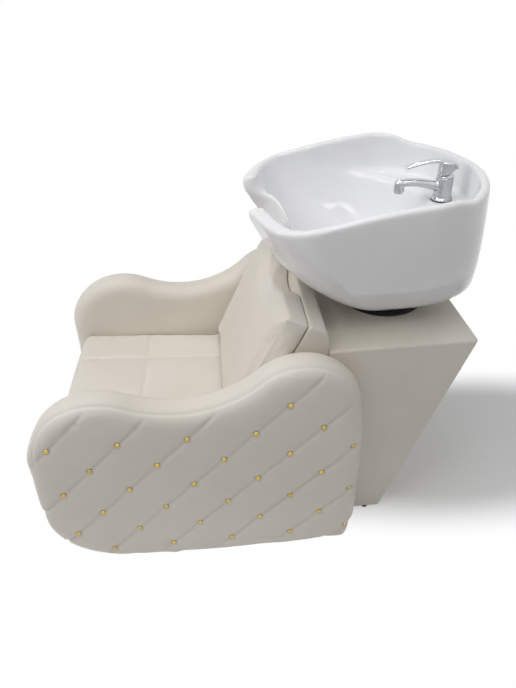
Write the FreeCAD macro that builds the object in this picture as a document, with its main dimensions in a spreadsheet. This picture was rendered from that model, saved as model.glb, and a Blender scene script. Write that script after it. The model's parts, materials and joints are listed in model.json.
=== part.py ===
import FreeCAD, Part
import math
import os
import Sketcher

Vector = FreeCAD.Vector
doc = FreeCAD.newDocument("BackwashUnit")

# Driving sizes, in millimetres and degrees.
# X runs across the unit, Y from the client's feet to the basin, Z up from the floor.
# A "reach" is measured back from the front of the arms, a "height" up from the floor, and a "rise"
# up from what carries the piece.
SIZES = {
    # Frame of the whole unit
    "arm_front": -575,
    "unit_width": 670,
    "arm_thickness": 95,
    "panel_gap": 0.3,
    "glide_height": 4,
    "glide_inset": 45,
    # Scroll arms
    "arm_length": 826,
    "toe_radius": 182,
    "toe_run": 120,
    "scroll_radius": 175,
    "scroll_height": 600,
    "dip_radius": 288,
    "rear_radius": 151,
    "rear_height": 666,
    "crown_radius": 40,
    "core_thickness": 18,
    "core_inset": 48,
    "quilt_pitch": 170,
    "quilt_reach": 49,
    "quilt_height": 471.6,
    "channel_width": 15,
    "channel_depth": 5,
    "stud_margin": 9,
    "stud_radius": 7,
    "stud_rise": 4.5,
    # Seat box and cushion
    "rail_thickness": 22,
    "rail_bottom": 205,
    "rail_depth": 90,
    "board_thickness": 15,
    "apron_reach": 32,
    "apron_thickness": 40,
    "apron_bottom": 30,
    "seat_reach": 24,
    "seat_tuck": 25,
    "seat_front_height": 423,
    "seat_fall": 34,
    "seat_crown": 10,
    "seat_draw": 5,
    "seat_nose": 34,
    "seam_reach": 250,
    "seam_offset": 100,
    "seam_width": 9,
    "seam_depth": 3.5,
    # Back
    "back_foot_reach": 473,
    "back_rise": 354,
    "back_lean": 173,
    "back_thickness": 62,
    "back_crown": 12,
    "back_gap": 2,
    "neck_radius": 150,
    "neck_depth": 34,
    "frame_top_depth": 46,
    "frame_wall": 18,
    "frame_tail": 6.7,
    # Pedestal
    "pedestal_height": 638,
    "pedestal_top_length": 377,
    "pedestal_foot_length": 192,
    "panel_thickness": 18,
    "top_thickness": 20,
    "top_hole_radius": 86,
    "screw_radius": 3,
    "screw_head_radius": 6,
    "screw_head_height": 3,
    "screw_length": 30,
    "screw_clearance": 0.2,
    "screw_recess": 1,
    # Tilt mechanism
    "pivot_back": 195,
    "pivot_drop": 22,
    "pivot_radius": 5,
    "pivot_clearance": 0.05,
    "plate_thickness": 4,
    "bracket_width": 120,
    "bracket_depth": 90,
    "ear_depth": 44,
    "ear_gap": 0.6,
    "ear_drop": 16,
    "cradle_flange": 54,
    "cradle_depth": 76,
    "cradle_screw_offset": 102,
    "cradle_screw_spread": 26,
    "nut_radius": 9,
    "nut_height": 8,
    "bracket_bolt_offset": 40,
    "bracket_bolt_spread": 34,
    "bracket_bolt_radius": 4,
    "ring_radius": 110,
    "ring_bore": 88,
    "ring_height": 4,
    # Basin
    "basin_lift": 20,
    "basin_lead": 415.5,
    "basin_trail": 205,
    "basin_half_width": 271,
    "base_lead": 57,
    "base_trail": 61,
    "base_half_width": 60,
    "heel_rise": 84,
    "tail_length": 220,
    "rim_front_rise": 290,
    "rim_rear_rise": 349,
    "rim_spare": 16,
    "climb_trail": 40,
    "rear_sink": 16,
    "sink_run": 70,
    "rim_round": 7,
    "rim_wall": 21,
    "basin_wall": 11,
    "floor_rise": 90,
    "bowl_front_wall": 36,
    "bowl_back": 37,
    "floor_radius": 46,
    "deck_rise": 250,
    "notch_rise": 210,
    "notch_half_width": 118,
    "notch_run": 230,
    "groove_half_width": 112,
    "groove_depth": 88,
    "groove_wall": 16,
    "nose_trim": 47,
    "base_hole_radius": 30,
    "access_length": 34,
    "access_width": 84,
    # Waste
    "waste_flange_radius": 36,
    "waste_hole_radius": 23,
    "waste_lip": 3,
    "waste_tail_radius": 20,
    "waste_wall": 2.5,
    "thread_rise": 1,
    "waste_tail_length": 162,
    "waste_thread_length": 46,
    "waste_nut_radius": 30,
    "waste_nut_height": 10,
    "seal_height": 4,
    "strainer_clearance": 0.4,
    "strainer_depth": 14,
    # Tap
    "tap_back": 123,
    "tap_base_radius": 26,
    "tap_base_height": 8,
    "tap_barrel_radius": 21,
    "tap_barrel_height": 56,
    "gasket_height": 2,
    "shank_radius": 16.5,
    "shank_length": 52,
    "shank_clearance": 1,
    "inlet_radius": 4.2,
    "inlet_depth": 22,
    "inlet_offset": 8,
    "tap_nut_radius": 25,
    "tap_nut_height": 8,
    "spout_rise": 45,
    "spout_reach": 112,
    "spout_half_width": 14,
    "spout_half_height": 11,
    "nozzle_radius": 12.5,
    "nozzle_drop": 20,
    "aerator_radius": 10.5,
    "aerator_height": 3,
    "cartridge_radius": 17,
    "cartridge_seat": 12,
    "cartridge_clearance": 0.06,
    "dome_height": 11.5,
    "stem_radius": 6,
    "stem_rise": 29,
    "lever_rise": 39,
    "lever_half_width": 17,
    "lever_half_height": 9,
    "lever_reach": 104,
    "lever_tip_drop": 4,
    "axle_rise": 23,
    "lever_axle_radius": 2.5,
    "cap_offset": 30,
    "cap_back": 29,
    "cap_radius": 12,
    "cap_rise": 6,
    "cap_stem_radius": 5,
    "cap_stem_length": 26,
}

sheet = doc.addObject("Spreadsheet::Sheet", "Sizes")
for row, (alias, number) in enumerate(SIZES.items(), start=1):
    sheet.set(f"A{row}", alias)
    sheet.set(f"B{row}", str(number))
    sheet.setAlias(f"B{row}", alias)
doc.recompute()


class Term:
    """A size worked out from the sheet: its value, and the expression that gives it."""

    def __init__(self, value, text):
        self.value = value
        self.text = text

    def __float__(self):
        return float(self.value)

    def __add__(self, other):
        return Term(float(self) + float(other), f"({self.text} + {text_of(other)})")

    def __sub__(self, other):
        return Term(float(self) - float(other), f"({self.text} - {text_of(other)})")

    def __mul__(self, other):
        return Term(float(self) * float(other), f"({self.text} * {text_of(other)})")

    def __truediv__(self, other):
        return Term(float(self) / float(other), f"({self.text} / {text_of(other)})")

    def __neg__(self):
        return Term(-float(self), f"(0 - {self.text})")


def text_of(number):
    return number.text if isinstance(number, Term) else repr(float(number))


class Sizes:
    """Every alias of the sheet as a Term."""


S = Sizes()
for alias in SIZES:
    setattr(S, alias, Term(float(sheet.get(alias)), f"Sizes.{alias}"))


def reach(distance):
    """The Y of a point that lies this far back from the front of the arms."""
    return S.arm_front + distance


def bind(item, prop, number):
    """Set a property from a size, so that it follows the sheet."""
    if isinstance(number, Term):
        item.setExpression(prop, number.text)
    else:
        item.setExpression(prop, repr(float(number)))


def place(item, x, y, z):
    for axis, number in zip("xyz", (x, y, z)):
        bind(item, f"Placement.Base.{axis}", number)
    return item


def board(label, corner, size):
    """A rectangular board from its lowest corner."""
    item = doc.addObject("Part::Box", label)
    for prop, number in zip(("Length", "Width", "Height"), size):
        bind(item, prop, number)
    return place(item, *corner)


ALONG = {
    "x": FreeCAD.Rotation(Vector(0, 1, 0), 90),
    "y": FreeCAD.Rotation(Vector(1, 0, 0), -90),
    "z": FreeCAD.Rotation(),
}


def rod(label, radius, length, base, along="z"):
    """A cylinder that starts at a point and runs along an axis."""
    item = doc.addObject("Part::Cylinder", label)
    item.Placement = FreeCAD.Placement(Vector(), ALONG[along])
    bind(item, "Radius", radius)
    bind(item, "Height", length)
    return place(item, *base)


def group(label, items):
    """Like pieces as one sub-part of separate solids."""
    item = doc.addObject("Part::Compound", label)
    item.Links = items
    return item


def fuse(label, items):
    item = doc.addObject("Part::MultiFuse", label)
    item.Shapes = items
    return item


def cut(label, base, tools):
    item = doc.addObject("Part::Cut", label)
    item.Base = base
    item.Tool = tools[0] if len(tools) == 1 else fuse(label + "_cuts", tools)
    return item


def body_of(label):
    return doc.addObject("PartDesign::Body", label)


def outline(body, name, plane, points, offset=None):
    """A closed sketch of straight lines whose corners follow the sheet."""
    sketch = body.newObject("Sketcher::SketchObject", name)
    origin = [feature for feature in body.Origin.OriginFeatures if feature.Role == plane]
    sketch.AttachmentSupport = [(origin[0], "")]
    sketch.MapMode = "FlatFace"
    if offset is not None:
        bind(sketch, "AttachmentOffset.Base.z", offset)
    corners = [Vector(float(u), float(v), 0) for u, v in points]
    count = len(corners)
    for index in range(count):
        sketch.addGeometry(Part.LineSegment(corners[index], corners[(index + 1) % count]), False)
    for index in range(count):
        sketch.addConstraint(Sketcher.Constraint("Coincident", index, 2, (index + 1) % count, 1))
    for index, (u, v) in enumerate(points):
        for kind, number in (("DistanceX", u), ("DistanceY", v)):
            rule = sketch.addConstraint(Sketcher.Constraint(kind, -1, 1, index, 1, float(number)))
            bind(sketch, f"Constraints[{rule}]", number)
    return sketch


def prism(label, plane, points, start, length):
    """A body padded from an outline on one of its planes."""
    body = body_of(label)
    pad = body.newObject("PartDesign::Pad", label + "_pad")
    pad.Profile = outline(body, label + "_outline", plane, points, start)
    bind(pad, "Length", length)
    body.Tip = pad
    return body


def turned(label, profile, x, y, z):
    """A body turned about its own upright axis from (radius, height) corners."""
    body = body_of(label)
    turn = body.newObject("PartDesign::Revolution", label + "_turn")
    sketch = outline(body, label + "_profile", "XZ_Plane", profile)
    turn.Profile = sketch
    turn.ReferenceAxis = (sketch, ["V_Axis"])
    turn.Angle = 360
    body.Tip = turn
    return place(body, x, y, z)


def solid(label, shape):
    """A sub-part whose shape is worked out here."""
    item = doc.addObject("Part::Feature", label)
    item.Shape = shape
    item.Placement = FreeCAD.Placement()
    return item


PARTS = []
TOUCH = 0.01  # how near counts as lying on a skin


def part(item):
    PARTS.append(item)
    return item


# Shared levels and planes

rail_top = S.rail_bottom + S.rail_depth
board_top = rail_top + S.board_thickness
half_unit = S.unit_width / 2
half_seat = half_unit - S.arm_thickness
clear_half = half_seat - S.panel_gap
seat_depth = S.back_foot_reach - S.seat_reach + S.seat_tuck
back_slant = Term(
    math.hypot(float(S.back_lean), float(S.back_rise)),
    "hypot(Sizes.back_lean; Sizes.back_rise)",
)
back_layers = S.back_thickness + S.panel_gap + S.frame_top_depth
back_depth = back_layers * S.back_rise / back_slant
pedestal_reach = S.back_foot_reach + S.back_lean + back_depth + S.frame_tail
under_top = S.pedestal_height - S.top_thickness
pivot_reach = pedestal_reach + S.pivot_back
pivot_height = under_top - S.pivot_drop
pivot_y = reach(pivot_reach)
basin_base = S.pedestal_height + S.basin_lift
base_front = pivot_reach - S.base_lead
base_rear = pivot_reach + S.base_trail
basin_front = pivot_reach - S.basin_lead
basin_rear = pivot_reach + S.basin_trail
tail_reach = basin_rear - S.tail_length
rim_front = basin_base + S.rim_front_rise
rim_rear = basin_base + S.rim_rear_rise
basin_top = rim_rear + S.rim_spare
bowl_floor = basin_base + S.floor_rise
bowl_rear = pivot_reach + S.floor_radius + S.bowl_back
notch_level = basin_base + S.notch_rise
deck_level = basin_base + S.deck_rise
under_deck = deck_level - S.basin_wall
tap_y = pivot_y + S.tap_back
tap_foot = deck_level + S.gasket_height
barrel_top = tap_foot + S.tap_barrel_height
spout_level = tap_foot + S.spout_rise
stem_top = barrel_top + S.stem_rise
lever_level = barrel_top + S.lever_rise
axle_level = barrel_top + S.axle_rise
mirror_plane = (Vector(), Vector(1, 0, 0))


# Scroll arms

CROWN_STEPS = 5
FLOOR_CROWN = 0.25  # share of the crown that is left along the floor


def arc_between(x, centre, radius, start, end):
    """An arc in a side plane between two angles in degrees, taken through their mean."""
    points = []
    for angle in (start, (start + end) / 2, end):
        turn = math.radians(angle)
        points.append(Vector(x, centre[0] + radius * math.cos(turn), centre[1] + radius * math.sin(turn)))
    return Part.Arc(*points).toShape()


def arm_outline(inset, x):
    """The side outline of an arm at one X, drawn in by an inset: tangent arcs and straight runs."""
    front = float(S.arm_front)
    floor = float(S.glide_height)
    back = front + float(S.arm_length) - inset
    toe = (front + float(S.toe_radius), floor + float(S.toe_radius))
    hem = floor + FLOOR_CROWN * inset
    scroll = (front + float(S.scroll_radius), float(S.scroll_height) - float(S.scroll_radius))
    rear = (front + float(S.arm_length) - float(S.rear_radius), float(S.rear_height) - float(S.rear_radius))
    toe_radius = float(S.toe_radius) - inset
    scroll_radius = float(S.scroll_radius) - inset
    rear_radius = float(S.rear_radius) - inset
    dip_radius = float(S.dip_radius) + inset
    # The dip's centre lies where the dip touches both the scroll and the rear curve.
    span = math.hypot(rear[0] - scroll[0], rear[1] - scroll[1])
    to_scroll = scroll_radius + dip_radius
    to_rear = rear_radius + dip_radius
    along = (span ** 2 + to_scroll ** 2 - to_rear ** 2) / (2 * span)
    aside = math.sqrt(to_scroll ** 2 - along ** 2)
    unit = ((rear[0] - scroll[0]) / span, (rear[1] - scroll[1]) / span)
    dip = (scroll[0] + along * unit[0] - aside * unit[1], scroll[1] + along * unit[1] + aside * unit[0])
    scroll_turn = math.degrees(math.atan2(dip[1] - scroll[1], dip[0] - scroll[0]))
    rear_turn = math.degrees(math.atan2(dip[1] - rear[1], dip[0] - rear[0]))
    corners = [
        Vector(x, back, rear[1]),
        Vector(x, back, hem),
        Vector(x, toe[0] + float(S.toe_run), hem),
        Vector(x, toe[0], toe[1] - toe_radius),
    ]
    edges = [
        arc_between(x, toe, toe_radius, -90, -180),
        Part.LineSegment(Vector(x, front + inset, toe[1]), Vector(x, front + inset, scroll[1])).toShape(),
        arc_between(x, scroll, scroll_radius, 180, scroll_turn),
        arc_between(x, dip, dip_radius, scroll_turn - 180, rear_turn - 180),
        arc_between(x, rear, rear_radius, rear_turn, 0),
    ]
    for first, last in zip(corners, corners[1:]):
        edges.append(Part.LineSegment(first, last).toShape())
    return Part.Wire(edges)


def stud_places():
    """Reach and height of each stud: a diamond grid, five to a row, and one on the rear swell."""
    pitch = float(S.quilt_pitch)
    places = [(float(S.quilt_reach) + 3.5 * pitch, float(S.quilt_height) + pitch / 2)]
    for line in range(6):
        shift = (line % 2) * pitch / 2
        for column in range(5):
            across = float(S.quilt_reach) + shift + column * pitch
            places.append((across, float(S.quilt_height) - line * pitch / 2))
    margin = float(S.stud_margin)
    return [spot for spot in places if margin < spot[0] < float(S.arm_length) - margin]


PLEATS_ASIDE = 4  # pleats on each side of the middle one


def channel_tools():
    """The sewn pleats: V cuts through the studs of the outer face, rising towards the back."""
    face = float(half_unit)
    half = float(S.channel_width) / 2
    depth = float(S.channel_depth)
    pitch = float(S.quilt_pitch)
    length = float(S.arm_length) * 2
    middle_y = float(reach(S.quilt_reach)) + 2 * pitch
    middle_z = float(S.quilt_height) - pitch
    tools = []
    for line in range(-PLEATS_ASIDE, PLEATS_ASIDE + 1):
        wedge = Part.Face(Part.makePolygon([
            Vector(face + depth, -length / 2, -2 * half),
            Vector(face - depth, -length / 2, 0),
            Vector(face + depth, -length / 2, 2 * half),
            Vector(face + depth, -length / 2, -2 * half),
        ])).extrude(Vector(0, length, 0))
        wedge.translate(Vector(0, 0, line * pitch * math.sqrt(0.5)))
        wedge.rotate(Vector(), Vector(1, 0, 0), 45)
        wedge.translate(Vector(0, middle_y, middle_z))
        tools.append(wedge)
    return tools


def arm_crown():
    """Radius of the arm's rolled edge, limited by the arm's thickness."""
    return min(float(S.crown_radius), 0.45 * float(half_unit - half_seat))


def stud_seats():
    """Foot and axis of each stud: square to the face, or to the rolled edge under the last column."""
    crown = arm_crown()
    seats = []
    for across, height in stud_places():
        lean = max(0, 1 - (float(S.arm_length) - across) / crown)
        axis = Vector(math.sqrt(1 - lean ** 2), lean, 0)
        surface = Vector(float(half_unit) - crown * (1 - axis.x), float(reach(across)), height)
        seats.append((surface - axis * float(S.channel_depth), axis))
    return seats


def arm_pad():
    """The padded cover of the left arm: crowned edges, sewn channels, stud seats and a slot for the core."""
    thickness = float(half_unit) - float(half_seat) - float(S.panel_gap)
    inner = float(half_seat) + float(S.panel_gap)
    crown = arm_crown()
    steps = [math.radians(90 * step / CROWN_STEPS) for step in range(CROWN_STEPS + 1)]
    loops = []
    for turn in steps:
        loops.append(arm_outline(crown * (1 - math.sin(turn)), inner + crown * (1 - math.cos(turn))))
    for turn in reversed(steps):
        outer = inner + thickness - crown * (1 - math.cos(turn))
        loops.append(arm_outline(crown * (1 - math.sin(turn)), outer))
    block = Part.makeLoft(loops, True, True)
    tools = channel_tools()
    seat_radius = float(S.stud_radius) + float(S.panel_gap)
    for foot, axis in stud_seats():
        tools.append(Part.makeCylinder(seat_radius, 3 * float(S.channel_depth), foot, axis))
    return block.cut(tools + [arm_core()])


def arm_core():
    """The plywood panel that stands inside the left arm."""
    middle = (float(half_unit) + float(half_seat)) / 2
    face = Part.Face(arm_outline(float(S.core_inset), middle - float(S.core_thickness) / 2))
    return face.extrude(Vector(float(S.core_thickness), 0, 0))


def arm_studs():
    """Domed stud heads in the seats of the left arm's channels."""
    radius = float(S.stud_radius)
    rise = float(S.stud_rise)
    ball = (radius ** 2 + rise ** 2) / (2 * rise)
    heads = []
    for foot, axis in stud_seats():
        head = Part.makeSphere(ball, foot + axis * (rise - ball))
        keep = Part.makeCylinder(2 * ball, ball, foot, axis)
        heads.append(head.common(keep))
    return Part.makeCompound(heads)


def make_arms():
    for name, maker in (("pad", arm_pad), ("core", arm_core), ("studs", arm_studs)):
        left = maker()
        part(solid(f"left_arm_{name}", left))
        part(solid(f"right_arm_{name}", left.mirror(*mirror_plane)))


make_arms()


def make_glides():
    """Round glides under the arm cores and the pedestal sides."""
    arm_x = (half_unit + half_seat) / 2
    side_x = half_seat - S.panel_thickness / 2 - S.panel_gap
    spots = []
    for sign in (1, -1):
        for distance in (S.toe_radius + S.glide_inset, S.arm_length - S.core_inset - S.glide_inset):
            spots.append((arm_x * sign, reach(distance), S.core_thickness / 2))
        pedestal_foot = pedestal_reach + S.pedestal_foot_length
        for distance in (pedestal_reach + S.glide_inset, pedestal_foot - S.glide_inset):
            spots.append((side_x * sign, reach(distance), S.panel_thickness / 2))
    rods = []
    for index, (x, y, radius) in enumerate(spots):
        rods.append(rod(f"glide_{index}", radius, S.glide_height, (x, y, 0)))
    part(group("glides", rods))


make_glides()


# Seat box and cushion

def make_seat_box():
    inner = (half_seat - S.rail_thickness) * 2
    front = reach(S.apron_reach + S.apron_thickness)
    rear = reach(pedestal_reach) - S.rail_thickness
    depth = rear - front - S.rail_thickness
    for label, y in (("seat_front_rail", front), ("seat_rear_rail", rear)):
        part(board(label, (-inner / 2, y, S.rail_bottom), (inner, S.rail_thickness, S.rail_depth)))
    full = depth + S.rail_thickness * 2
    for label, x in (("seat_left_rail", inner / 2), ("seat_right_rail", -half_seat)):
        part(board(label, (x, front, S.rail_bottom), (S.rail_thickness, full, S.rail_depth)))
    part(board("seat_board", (-clear_half, front, rail_top), (clear_half * 2, full, S.board_thickness)))


make_seat_box()


def cushion_loop(y, half, draw, low, high, crown):
    """A cushion's cross-section at one Y: flat below, drawn-in sides and a crowned top."""
    middle = (low + high) / 2
    low_right = Vector(half - draw, y, low)
    low_left = Vector(draw - half, y, low)
    high_right = Vector(half - draw, y, high)
    high_left = Vector(draw - half, y, high)
    edges = [
        Part.LineSegment(low_left, low_right).toShape(),
        Part.Arc(low_right, Vector(half, y, middle), high_right).toShape(),
        Part.Arc(high_right, Vector(0, y, high + crown), high_left).toShape(),
        Part.Arc(high_left, Vector(-half, y, middle), low_left).toShape(),
    ]
    return Part.Wire(edges)


def groove_across(y, z, half_length, width, depth):
    """A V cut along X at a point of a top face."""
    corners = [Vector(-half_length, y - width, z + depth), Vector(-half_length, y, z - depth),
               Vector(-half_length, y + width, z + depth)]
    return Part.Face(Part.makePolygon(corners + corners[:1])).extrude(Vector(2 * half_length, 0, 0))


def seat_cushion():
    """The seat: crowned, falling towards the back, with a rounded nose and sewn cross seams."""
    front = float(reach(S.seat_reach))
    depth = float(seat_depth)
    low = float(board_top)
    high = float(S.seat_front_height) - float(S.seat_crown)
    nose = float(S.seat_nose)
    half = float(clear_half)
    loops = []
    for turn in (0, 30, 60, 90):
        angle = math.radians(turn)
        y = front + nose * (1 - math.sin(angle))
        top = high - nose * (1 - math.cos(angle))
        loops.insert(0, cushion_loop(y, half, float(S.seat_draw), low, top, float(S.seat_crown)))
    for share in (0.5, 1.0):
        y = front + depth * share
        top = high - float(S.seat_fall) * share
        loops.append(cushion_loop(y, half, float(S.seat_draw), low, top, float(S.seat_crown)))
    cushion = Part.makeLoft(loops, True, True)
    seam_share = (float(S.seam_reach) - float(S.seat_reach)) / depth
    seam_z = high + float(S.seat_crown) - float(S.seat_fall) * seam_share
    width = float(S.seam_width)
    deep = float(S.seam_depth)
    tools = [groove_across(float(reach(S.seam_reach)), seam_z, half * 2, width, deep)]
    fall = math.degrees(math.atan2(float(S.seat_fall), depth))
    crown = float(S.seat_crown)
    for sign in (1, -1):
        seam = groove_across(0, 0, depth * 2, width, deep)
        seam.rotate(Vector(), Vector(0, 0, 1), 90)
        seam.rotate(Vector(), Vector(1, 0, 0), -fall)
        lowered = seam_z - crown * (float(S.seam_offset) / half) ** 2
        seam.translate(Vector(sign * float(S.seam_offset), float(reach(S.seam_reach)), lowered))
        tools.append(seam)
    return cushion.cut(tools)


part(solid("seat_cushion", seat_cushion()))


def front_apron():
    """The padded panel under the seat's nose, with a crowned front."""
    front = float(reach(S.apron_reach))
    back = front + float(S.apron_thickness)
    half = float(clear_half)
    low = float(S.apron_bottom)
    high = float(board_top) - float(S.panel_gap)
    crown = float(S.seat_crown)
    right_end = Vector(half, front + crown, low)
    left_end = Vector(-half, front + crown, low)
    edges = [
        Part.LineSegment(Vector(half, back, low), Vector(-half, back, low)).toShape(),
        Part.LineSegment(Vector(-half, back, low), left_end).toShape(),
        Part.Arc(left_end, Vector(0, front, low), right_end).toShape(),
        Part.LineSegment(right_end, Vector(half, back, low)).toShape(),
    ]
    return Part.Face(Part.Wire(edges)).extrude(Vector(0, 0, high - low))


part(solid("front_apron", front_apron()))


# Back

def lean_offset(distance):
    """The Y share and the Z share of a step square to the back's face."""
    slope = float(back_slant)
    return distance * float(S.back_rise) / slope, -distance * float(S.back_lean) / slope


def seat_top(distance):
    """Height of the seat's middle line at a reach."""
    share = (distance - float(S.seat_reach)) / float(seat_depth)
    return float(S.seat_front_height) - float(S.seat_fall) * share


def back_line(height, offset):
    """Reach of a line parallel to the back's face, square behind it by an offset, at a height."""
    step_y, step_z = lean_offset(offset)
    foot_z = seat_top(float(S.back_foot_reach))
    slope = float(S.back_lean) / float(S.back_rise)
    return float(S.back_foot_reach) + step_y + (height - foot_z - step_z) * slope


def back_cushion():
    """The leaning back pad: crowned front, rounded edges and a dip for the neck."""
    foot_z = seat_top(float(S.back_foot_reach)) + float(S.back_gap)
    top_z = seat_top(float(S.back_foot_reach)) + float(S.back_rise)
    thick = float(S.back_thickness)
    crown = float(S.back_crown)
    half = float(clear_half)
    step_y, step_z = lean_offset(thick)
    foot = Vector(0, float(reach(back_line(foot_z, 0))), foot_z)
    head = Vector(0, float(reach(back_line(top_z, 0))), top_z)
    rear_head = head + Vector(0, step_y, step_z)
    rear_foot = Vector(0, float(reach(back_line(foot_z, thick))), foot_z)
    bulge = Vector(0, -lean_offset(crown)[0], -lean_offset(crown)[1])
    loops = []
    for x, share in ((-half, 0), (-0.5 * half, 0.75), (0, 1), (0.5 * half, 0.75), (half, 0)):
        shift = Vector(x, 0, 0)
        middle = (foot + head) * 0.5 + bulge * (0.35 + 0.65 * share)
        edges = [
            Part.Arc(foot + shift, middle + shift, head + shift).toShape(),
            Part.LineSegment(head + shift, rear_head + shift).toShape(),
            Part.LineSegment(rear_head + shift, rear_foot + shift).toShape(),
            Part.LineSegment(rear_foot + shift, foot + shift).toShape(),
        ]
        loops.append(Part.Wire(edges))
    pad = Part.makeLoft(loops, True, False)
    dip_centre = head + lean_along(float(S.neck_radius) - float(S.neck_depth))
    dip_start = dip_centre - Vector(0, step_y, step_z)
    dip = Part.makeCylinder(float(S.neck_radius), 3 * thick, dip_start, Vector(0, step_y, step_z))
    return pad.cut(dip)


def lean_along(distance):
    """A step up the back's face."""
    slope = float(back_slant)
    return Vector(0, distance * float(S.back_lean) / slope, distance * float(S.back_rise) / slope)


part(solid("back_cushion", back_cushion()))


# How far the frame's rear edge and its cavity lie below its front edge, in drops of the top face.
FRAME_FALL = 2.2
CAVITY_FALL = 3


def make_back_frame():
    """The upholstered box behind the back pad: leaning front, upright rear, open below."""
    gap = float(S.panel_gap)
    thick = float(S.back_thickness) + gap
    low = float(board_top)
    top_z = seat_top(float(S.back_foot_reach)) + float(S.back_rise) + lean_offset(thick)[1]
    step_y, step_z = lean_offset(float(S.frame_top_depth))
    front_top = back_line(top_z, thick)
    rear = float(pedestal_reach)
    wall = float(S.frame_wall)
    front = float(S.arm_front)
    half = float(clear_half)
    profile = [
        (back_line(low, thick), low),
        (front_top, top_z),
        (front_top + step_y, top_z + step_z),
        (rear, top_z + FRAME_FALL * step_z),
        (rear, low),
    ]
    cavity_top = top_z + CAVITY_FALL * step_z
    cavity = [
        (back_line(low - 1, thick + wall), low - 1),
        (back_line(cavity_top, thick + wall), cavity_top),
        (rear - wall, cavity_top),
        (rear - wall, low - 1),
    ]
    shapes = []
    for points, inset in ((profile, 0), (cavity, wall)):
        corners = [Vector(inset - half, front + y, z) for y, z in points]
        face = Part.Face(Part.makePolygon(corners + corners[:1]))
        shapes.append(face.extrude(Vector(2 * (half - inset), 0, 0)))
    part(solid("back_frame", shapes[0].cut(shapes[1])))


make_back_frame()


# Pedestal

SCREW_SHARES = (0.12, 0.88)  # heights of the rear screws
HOLE_SHARE = 0.8  # depth of a blind screw hole in the top panel
GRIP_SHARE = 0.7  # how far its screw goes in


def make_pedestal():
    """A box of upholstered panels: upright front and sides, slanted rear, open at the floor."""
    low = S.glide_height
    front = reach(pedestal_reach)
    foot = front + S.pedestal_foot_length
    head = front + S.pedestal_top_length
    slope = (head - foot) / (S.pedestal_height - low)
    slant = math.atan(float(slope))
    under_head = head - slope * S.top_thickness
    rear_run = S.panel_thickness / math.cos(slant)
    inner_half = half_seat - S.panel_thickness
    width = clear_half * 2

    # Screws that hold the rear panel to the side panels, square to its slant, with sunk heads.
    outward = Vector(0, math.cos(slant), -math.sin(slant))
    screws = []
    holes = []
    for sign in (1, -1):
        for share in SCREW_SHARES:
            rise = float(under_top - low) * share
            x = sign * float(inner_half + S.panel_thickness / 2)
            sunk = float(S.screw_head_height + S.screw_recess)
            seat = Vector(x, float(foot + slope * rise), float(low) + rise) - outward * sunk
            length = float(S.screw_length)
            shank = Part.makeCylinder(float(S.screw_radius), length, seat, -outward)
            disc = Part.makeCylinder(float(S.screw_head_radius), float(S.screw_head_height), seat, outward)
            hole = float(S.screw_radius + S.screw_clearance)
            head_hole = float(S.screw_head_radius + S.screw_clearance)
            screws.append(shank.fuse(disc))
            bore = Part.makeCylinder(hole, length + hole, seat, -outward)
            holes.append(bore.fuse(Part.makeCylinder(head_hole, 2 * sunk, seat, outward)))
    drill = solid("rear_panel_holes", Part.makeCompound(holes))

    side = [(front, low), (foot - rear_run, low), (under_head - rear_run, under_top), (front, under_top)]
    depth = S.panel_thickness - S.panel_gap
    for label, start in (("pedestal_left_panel", inner_half), ("pedestal_right_panel", -clear_half)):
        blank = prism(label + "_blank", "YZ_Plane", side, start, depth)
        part(cut(label, blank, [drill]))
    rear = [(foot - rear_run, low), (foot, low), (under_head, under_top), (under_head - rear_run, under_top)]
    blank = prism("rear_panel_blank", "YZ_Plane", rear, -clear_half, width)
    part(cut("pedestal_rear_panel", blank, [drill]))
    part(solid("rear_panel_screws", Part.makeCompound(screws)))
    part(board("pedestal_front_panel", (-inner_half, front, low),
               (inner_half * 2, S.panel_thickness, under_top - low)))

    high = S.pedestal_height
    top = [(front, under_top), (under_head, under_top), (head, high), (front, high)]
    blank = prism("pedestal_top_blank", "YZ_Plane", top, -clear_half, width)
    tools = [rod("top_hole", S.top_hole_radius, S.top_thickness, (0, pivot_y, under_top))]
    for index, (x, y) in enumerate(cradle_screw_spots()):
        hole = S.screw_radius + S.screw_clearance
        depth = S.top_thickness * HOLE_SHARE
        tools.append(rod(f"top_screw_hole_{index}", hole, depth, (x, y, under_top)))
    part(cut("pedestal_top", blank, tools))


def cradle_screw_spots():
    """Where the two cradle angles are screwed to the underside of the pedestal top."""
    spots = []
    for side in (1, -1):
        for end in (1, -1):
            spots.append((S.cradle_screw_offset * side, pivot_y + S.cradle_screw_spread * end))
    return spots


make_pedestal()


# Tilt mechanism

HEX_RATIO = 1.8  # a nut's corner radius over its bolt's radius


def hexagon(label, radius, height, base, along="z"):
    """A six-sided prism for a nut or a bolt head."""
    item = doc.addObject("Part::Prism", label)
    item.Polygon = 6
    item.Placement = FreeCAD.Placement(Vector(), ALONG[along])
    bind(item, "Circumradius", radius)
    bind(item, "Height", height)
    return place(item, *base)


def hex_nut(label, radius, bore, height, base, along="z"):
    """A nut: a hexagon with a bore."""
    blank = hexagon(label + "_blank", radius, height, base, along)
    return cut(label, blank, [rod(label + "_bore", bore, height, base, along)])


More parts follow.
